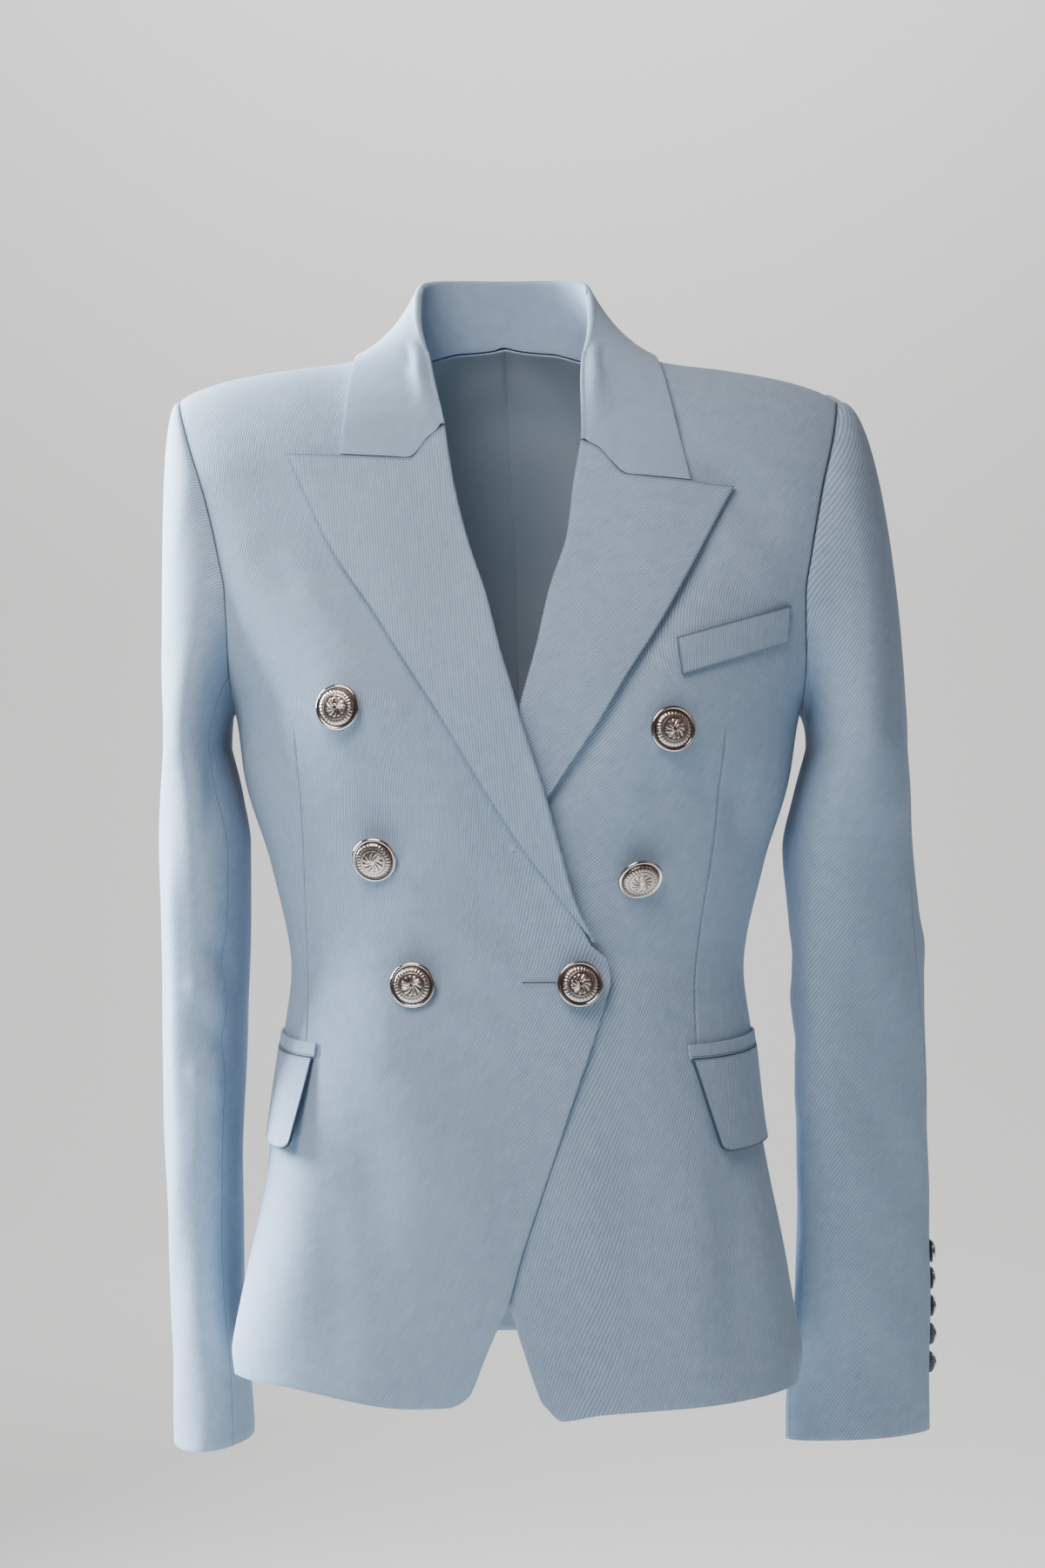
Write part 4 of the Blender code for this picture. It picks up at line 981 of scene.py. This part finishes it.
for side, worn, label in SIDES:
    first, last = POCKET_FROM[side], POCKET_TO[side]
    under = (f"{worn}_front", f"{worn}_side_panel")
    turn, z, out = pocket_strip(first, last, JET["top"], JET["bottom"], 0, 0, 7, 0)
    points = on_body(side, turn, z, out + WALL)
    cloth_piece(f"{worn}_pocket_jet", points, side * lengths(points, 1), lengths(points, 0),
                f"pocket_jet_{label}")
    # painted shade along the flap's edges, strongest at its bottom and front end, for the gap round it
    turn, z, out = pocket_strip(first + FLAP["inset"], last - FLAP["inset"], FLAP["top"], FLAP["bottom"],
                                FLAP_SLANT[side], FLAP_LIFT[side], 36, CORNER)
    points = on_body(side, turn, z, out + FLAP["wall"])
    cloth_piece(f"{worn}_pocket_flap", points, side * lengths(points, 1), lengths(points, 0),
                f"pocket_flap_{label}", wall=FLAP["wall"],
                seam=rim(points, 0.6, 1.0, 1.0, 0.3))

# %% Breast welt
WELT = ((89, -175, 92, -196), (156, -155, 154.5, -176))
s, t = np.linspace(0, 1, 40)[None, :], np.linspace(0, 1, 14)[:, None]
(x0, z0, x1, z1), (x2, z2, x3, z3) = WELT
across = mix(mix(x0, x2, s), mix(x1, x3, s), t)
height = mix(mix(z0, z2, s), mix(z1, z3, s), t)
points = on_front(1, across, height, REST + WALL)
# painted shade along the welt's edges, for the gap round it
cloth_piece("chest_welt", points, lengths(points, 1), lengths(points, 0), "breast_welt", angle=-16,
            seam=rim(points, 0.9, 0.7, 0.8, 0.4))

# %% [markdown]
# ## Buttons
# A profile is spun round the button's axis. The dome then gets its relief, a plain pattern of rays, a ring,
# petals and a boss, by moving the vertices. An attribute keeps how deep each one lies, and the metal is
# darkened by it: painted shade in the recesses.

# %% Buttons
FRONT_BUTTONS = [
    # name, side, x, z, turned sideways and down in degrees, height of its seat
    ("front_button_top_left", -1, -98.5, -214, 8, 6, 0.1),
    ("front_button_middle_left", -1, -79, -298, 8, -6, 0.9),
    ("front_button_low_left", -1, -57, -370, 6, -4, 0.6),
    ("front_button_fastened", -1, 34, -369.5, 0, 2, 0.5),
    ("front_button_top_right", 1, 86, -226, -6, 8, 0.1),
    ("front_button_middle_right", 1, 68, -308, 0, -30, 0.5),
]
CUFF_BUTTON_HEIGHTS = [-548, -565, -582, -599, -616]
CUFF_BUTTON_SHARE = {-1: 0.93, 1: 0.945}        # share of the way round the sleeve
CUFF_BUTTON_SEAT = -1.3                         # their shanks' feet lie in the cloth
FRONT_BUTTON = {"radius": 13.1, "height": 8.2, "steps": 120, "deep": 0.6}
CUFF_BUTTON = {"radius": 7.5, "height": 4.6, "steps": 60, "deep": 0.35}
FOOT_RADIUS = 12.7 * 0.22                       # a tilted button rests on the rim of its shank
SHANK = [(0, 0), (0.22, 0), (0.22, 0.30), (0.55, 0.32), (0.90, 0.36), (0.97, 0.43), (1.0, 0.52),
         (0.98, 0.62),
         (0.93, 0.70), (0.87, 0.69), (0.82, 0.61)]
DOME_FROM, DOME_HEIGHT = 0.82, 0.46
DOME_RINGS = 18


def relief(r, angle):
    """Height of the button's pattern, 0 to 1, at a share of the radius and an angle."""
    rays = 0.35 + 0.65 * ease(0.5 + 0.9 * np.cos(30 * angle))
    rays = rays * ease((r - 0.56) / 0.05) * ease((0.80 - r) / 0.05)
    ring = np.exp(-((r - 0.50) / 0.035) ** 2)
    petals = (0.3 + 0.7 * ease(0.5 + 0.8 * np.cos(11 * angle + 16 * r))) * ease((0.46 - r) / 0.04)
    boss = 1 - ease((r - 0.09) / 0.05)
    return np.maximum.reduce([rays, ring, petals, boss])


def make_button(name, spot, facing, radius, height, steps, deep):
    shape = bmesh.new()
    profile = list(SHANK)
    for k in range(DOME_RINGS + 1):
        r = DOME_FROM * (1 - k / DOME_RINGS)
        profile.append((r, 0.60 + DOME_HEIGHT * math.sqrt(1 - (r / DOME_FROM) ** 2 * 0.98)))
    line = [shape.verts.new(Vector((radius * r, 0, height * h)) * MM) for r, h in profile]
    edges = [shape.edges.new(pair) for pair in zip(line, line[1:])]
    bmesh.ops.spin(shape, geom=line + edges, cent=(0, 0, 0), axis=(0, 0, 1), angle=2 * math.pi, steps=steps,
                   use_merge=True)
    bmesh.ops.remove_doubles(shape, verts=shape.verts, dist=0.000001)
    bmesh.ops.recalc_face_normals(shape, faces=shape.faces)
    # recess: how deep each place lies in the relief, 1 in the groove inside the edge; it sets painted shade
    layer = shape.verts.layers.float.new("recess")
    for vertex in shape.verts:
        r = math.hypot(vertex.co.x, vertex.co.y) / (radius * MM)
        if vertex.co.z > 0.585 * height * MM and r <= DOME_FROM + 0.005:
            rise = float(relief(r, math.atan2(vertex.co.y, vertex.co.x)))
            vertex.co.z += (rise - 0.5) * deep * MM
            vertex[layer] = 1 - rise
        elif 0.81 < r < 0.86 and vertex.co.z > 0.55 * height * MM:
            vertex[layer] = 1.0
    pose = (Matrix.Translation(Vector(spot) * MM)
            @ Vector(facing).to_track_quat("Z", "Y").to_matrix().to_4x4())
    bmesh.ops.transform(shape, matrix=pose, verts=shape.verts)
    for face in shape.faces:
        face.smooth = True
    piece = add_piece(name.replace("button", "metal_button"), shape, metal)
    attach(piece, "root")
    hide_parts(name)


for name, side, x, z, sideways, down, rest in FRONT_BUTTONS:
    turn = turn_at(side, x, z)
    normal = body_normal(side, turn, drop_at(turn, z))
    facing = unit(normal + np.array([math.radians(sideways), 0, math.radians(down)]))
    seat = on_front(side, x, z, rest) + normal * FOOT_RADIUS * np.linalg.norm(facing - normal)
    make_button(name, seat, facing, **FRONT_BUTTON)
for side, label in ((-1, "left"), (1, "right")):
    share = CUFF_BUTTON_SHARE[side]
    for k, z in enumerate(CUFF_BUTTON_HEIGHTS):
        spot = section_point(side, float(z), share)
        across = section_point(side, float(z), share + 0.01) - section_point(side, float(z), share - 0.01)
        down = section_point(side, z - 4.0, share) - section_point(side, z + 4.0, share)
        normal = unit(np.cross(down, across) * -side)
        relief_there = float(sleeve_relief(side, np.array(float(z)), np.array(share)))
        spot = spot + normal * (CUFF_BUTTON_SEAT + relief_there)
        make_button(f"cuff_button_{label}_{k + 1}", spot, normal, **CUFF_BUTTON)
print("buttons:", len(FRONT_BUTTONS), "in front,", 2 * len(CUFF_BUTTON_HEIGHTS), "on the cuffs")

# %% [markdown]
# ## Sewing
# The buttonhole is worked with close stitches round a slit, and a row of stitches holds each jet. They are
# short six-sided threads laid on the cloth. The slit's thread and the jets' stitches are near-black: painted
# shade of the slit and of the join between jet and flap.


# %% Stitches
def threads(name, ends, radius, colour=thread):
    """One piece of short threads, each between two points in millimetres."""
    shape = bmesh.new()
    for a, b in ends:
        a, b = Vector(a), Vector(b)
        turn = (b - a).to_track_quat("Z", "Y").to_matrix().to_4x4()
        bmesh.ops.create_cone(shape, cap_ends=True, segments=6, radius1=radius * MM, radius2=radius * MM,
                              depth=(b - a).length * MM, matrix=Matrix.Translation((a + b) / 2 * MM) @ turn)
    piece = add_piece(name, shape, colour)
    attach(piece, "root")
    print(f"{name}: {len(ends)} stitches")


HOLE_HEIGHT = -368.6
hole = []
for x in np.arange(4.0, 21.0, 0.62):
    for up in (1, -1):
        hole.append([on_front(-1, x, HOLE_HEIGHT + up * away, 0.12) for away in (0.35, 1.7)])
threads("buttonhole", hole, 0.3)
slit = [on_front(-1, x, HOLE_HEIGHT, 0.1) for x in (3.0, 12.0, 21.0)]
threads("buttonhole_slit", list(zip(slit, slit[1:])), 0.4, shade)
for side, worn, _ in SIDES:
    row = []
    for turn in np.arange(POCKET_FROM[side] + 0.8, POCKET_TO[side] - 0.8, 1.5):
        share = (turn - POCKET_FROM[side]) / (POCKET_TO[side] - POCKET_FROM[side])
        z = JET["bottom"] + 1.1 + JET["rise"] * ease(share * 1.4)
        row.append([on_body(side, turn + step, z, REST + WALL + 0.05) for step in (0.0, 1.0)])
    threads(f"{worn}_jet_stitches", row, 0.22, shade)

# %% [markdown]
# ## Stage and light
# A pale floor runs up into a backdrop, as in a studio. A broad soft light stands at the viewer's left and a
# little behind, where the cloth is lightest. A warmer, weaker one lights the front and another the right.

# %% Stage
shape = bmesh.new()
bmesh.ops.create_grid(shape, x_segments=2, y_segments=60, size=1)
FLOOR, WALL_Y, SWEEP = -1.25, 6.0, 1.5     # the backdrop stands far enough off for a view from behind
path = [(mix(-7.0, WALL_Y - SWEEP, k / 30), FLOOR) for k in range(31)]
path += [(WALL_Y - SWEEP * (1 - math.sin(math.pi * k / 40)), FLOOR + SWEEP * (1 - math.cos(math.pi * k / 40)))
         for k in range(1, 21)]
path += [(WALL_Y, FLOOR + SWEEP + 5.0 * k / 10) for k in range(1, 11)]
shape.verts.ensure_lookup_table()
for k, vertex in enumerate(shape.verts):
    y, z = path[k // 3]
    vertex.co = ((k % 3 - 1) * 9.0, y, z)
for face in shape.faces:
    face.smooth = True
pale, tree, shader = new_material("backdrop", (0.86, 0.86, 0.85), 0.9)
backdrop = add_piece("backdrop", shape, pale)

# %% Light
LIGHTS = [
    # name, place, aimed at, size, watts, colour
    ("key", (-1.1, 0.55, 0.2), (-0.1, 0, -0.26), 0.8, 200, (0.89, 0.96, 1.0)),
    ("front", (-0.45, -0.9, 0.66), (0, 0, -0.1), 0.8, 23, (1.0, 0.86, 0.79)),
    ("right", (2.0, -0.9, 0.6), (0, 0, -0.3), 1.6, 5, (1.0, 0.70, 0.63)),
    ("backdrop", (0, 3.2, 3.4), (0, 6.0, 0.2), 3.0, 240, (1.0, 1.0, 1.0)),
]
for name, place, aim, size, power, tone in LIGHTS:
    data = bpy.data.lights.new(name, "AREA")
    data.shape, data.size, data.energy, data.color = "SQUARE", size, power, tone
    light = bpy.data.objects.new(name, data)
    light.location = place
    light.rotation_euler = (Vector(aim) - Vector(place)).to_track_quat("-Z", "Y").to_euler()
    bpy.context.scene.collection.objects.link(light)
world = bpy.data.worlds.new("studio")
world.use_nodes = True
world.node_tree.nodes["Background"].inputs["Color"].default_value = (1.0, 0.80, 0.72, 1)
world.node_tree.nodes["Background"].inputs["Strength"].default_value = 0.08
bpy.context.scene.world = world
print("lights:", ", ".join(name for name, *_ in LIGHTS))
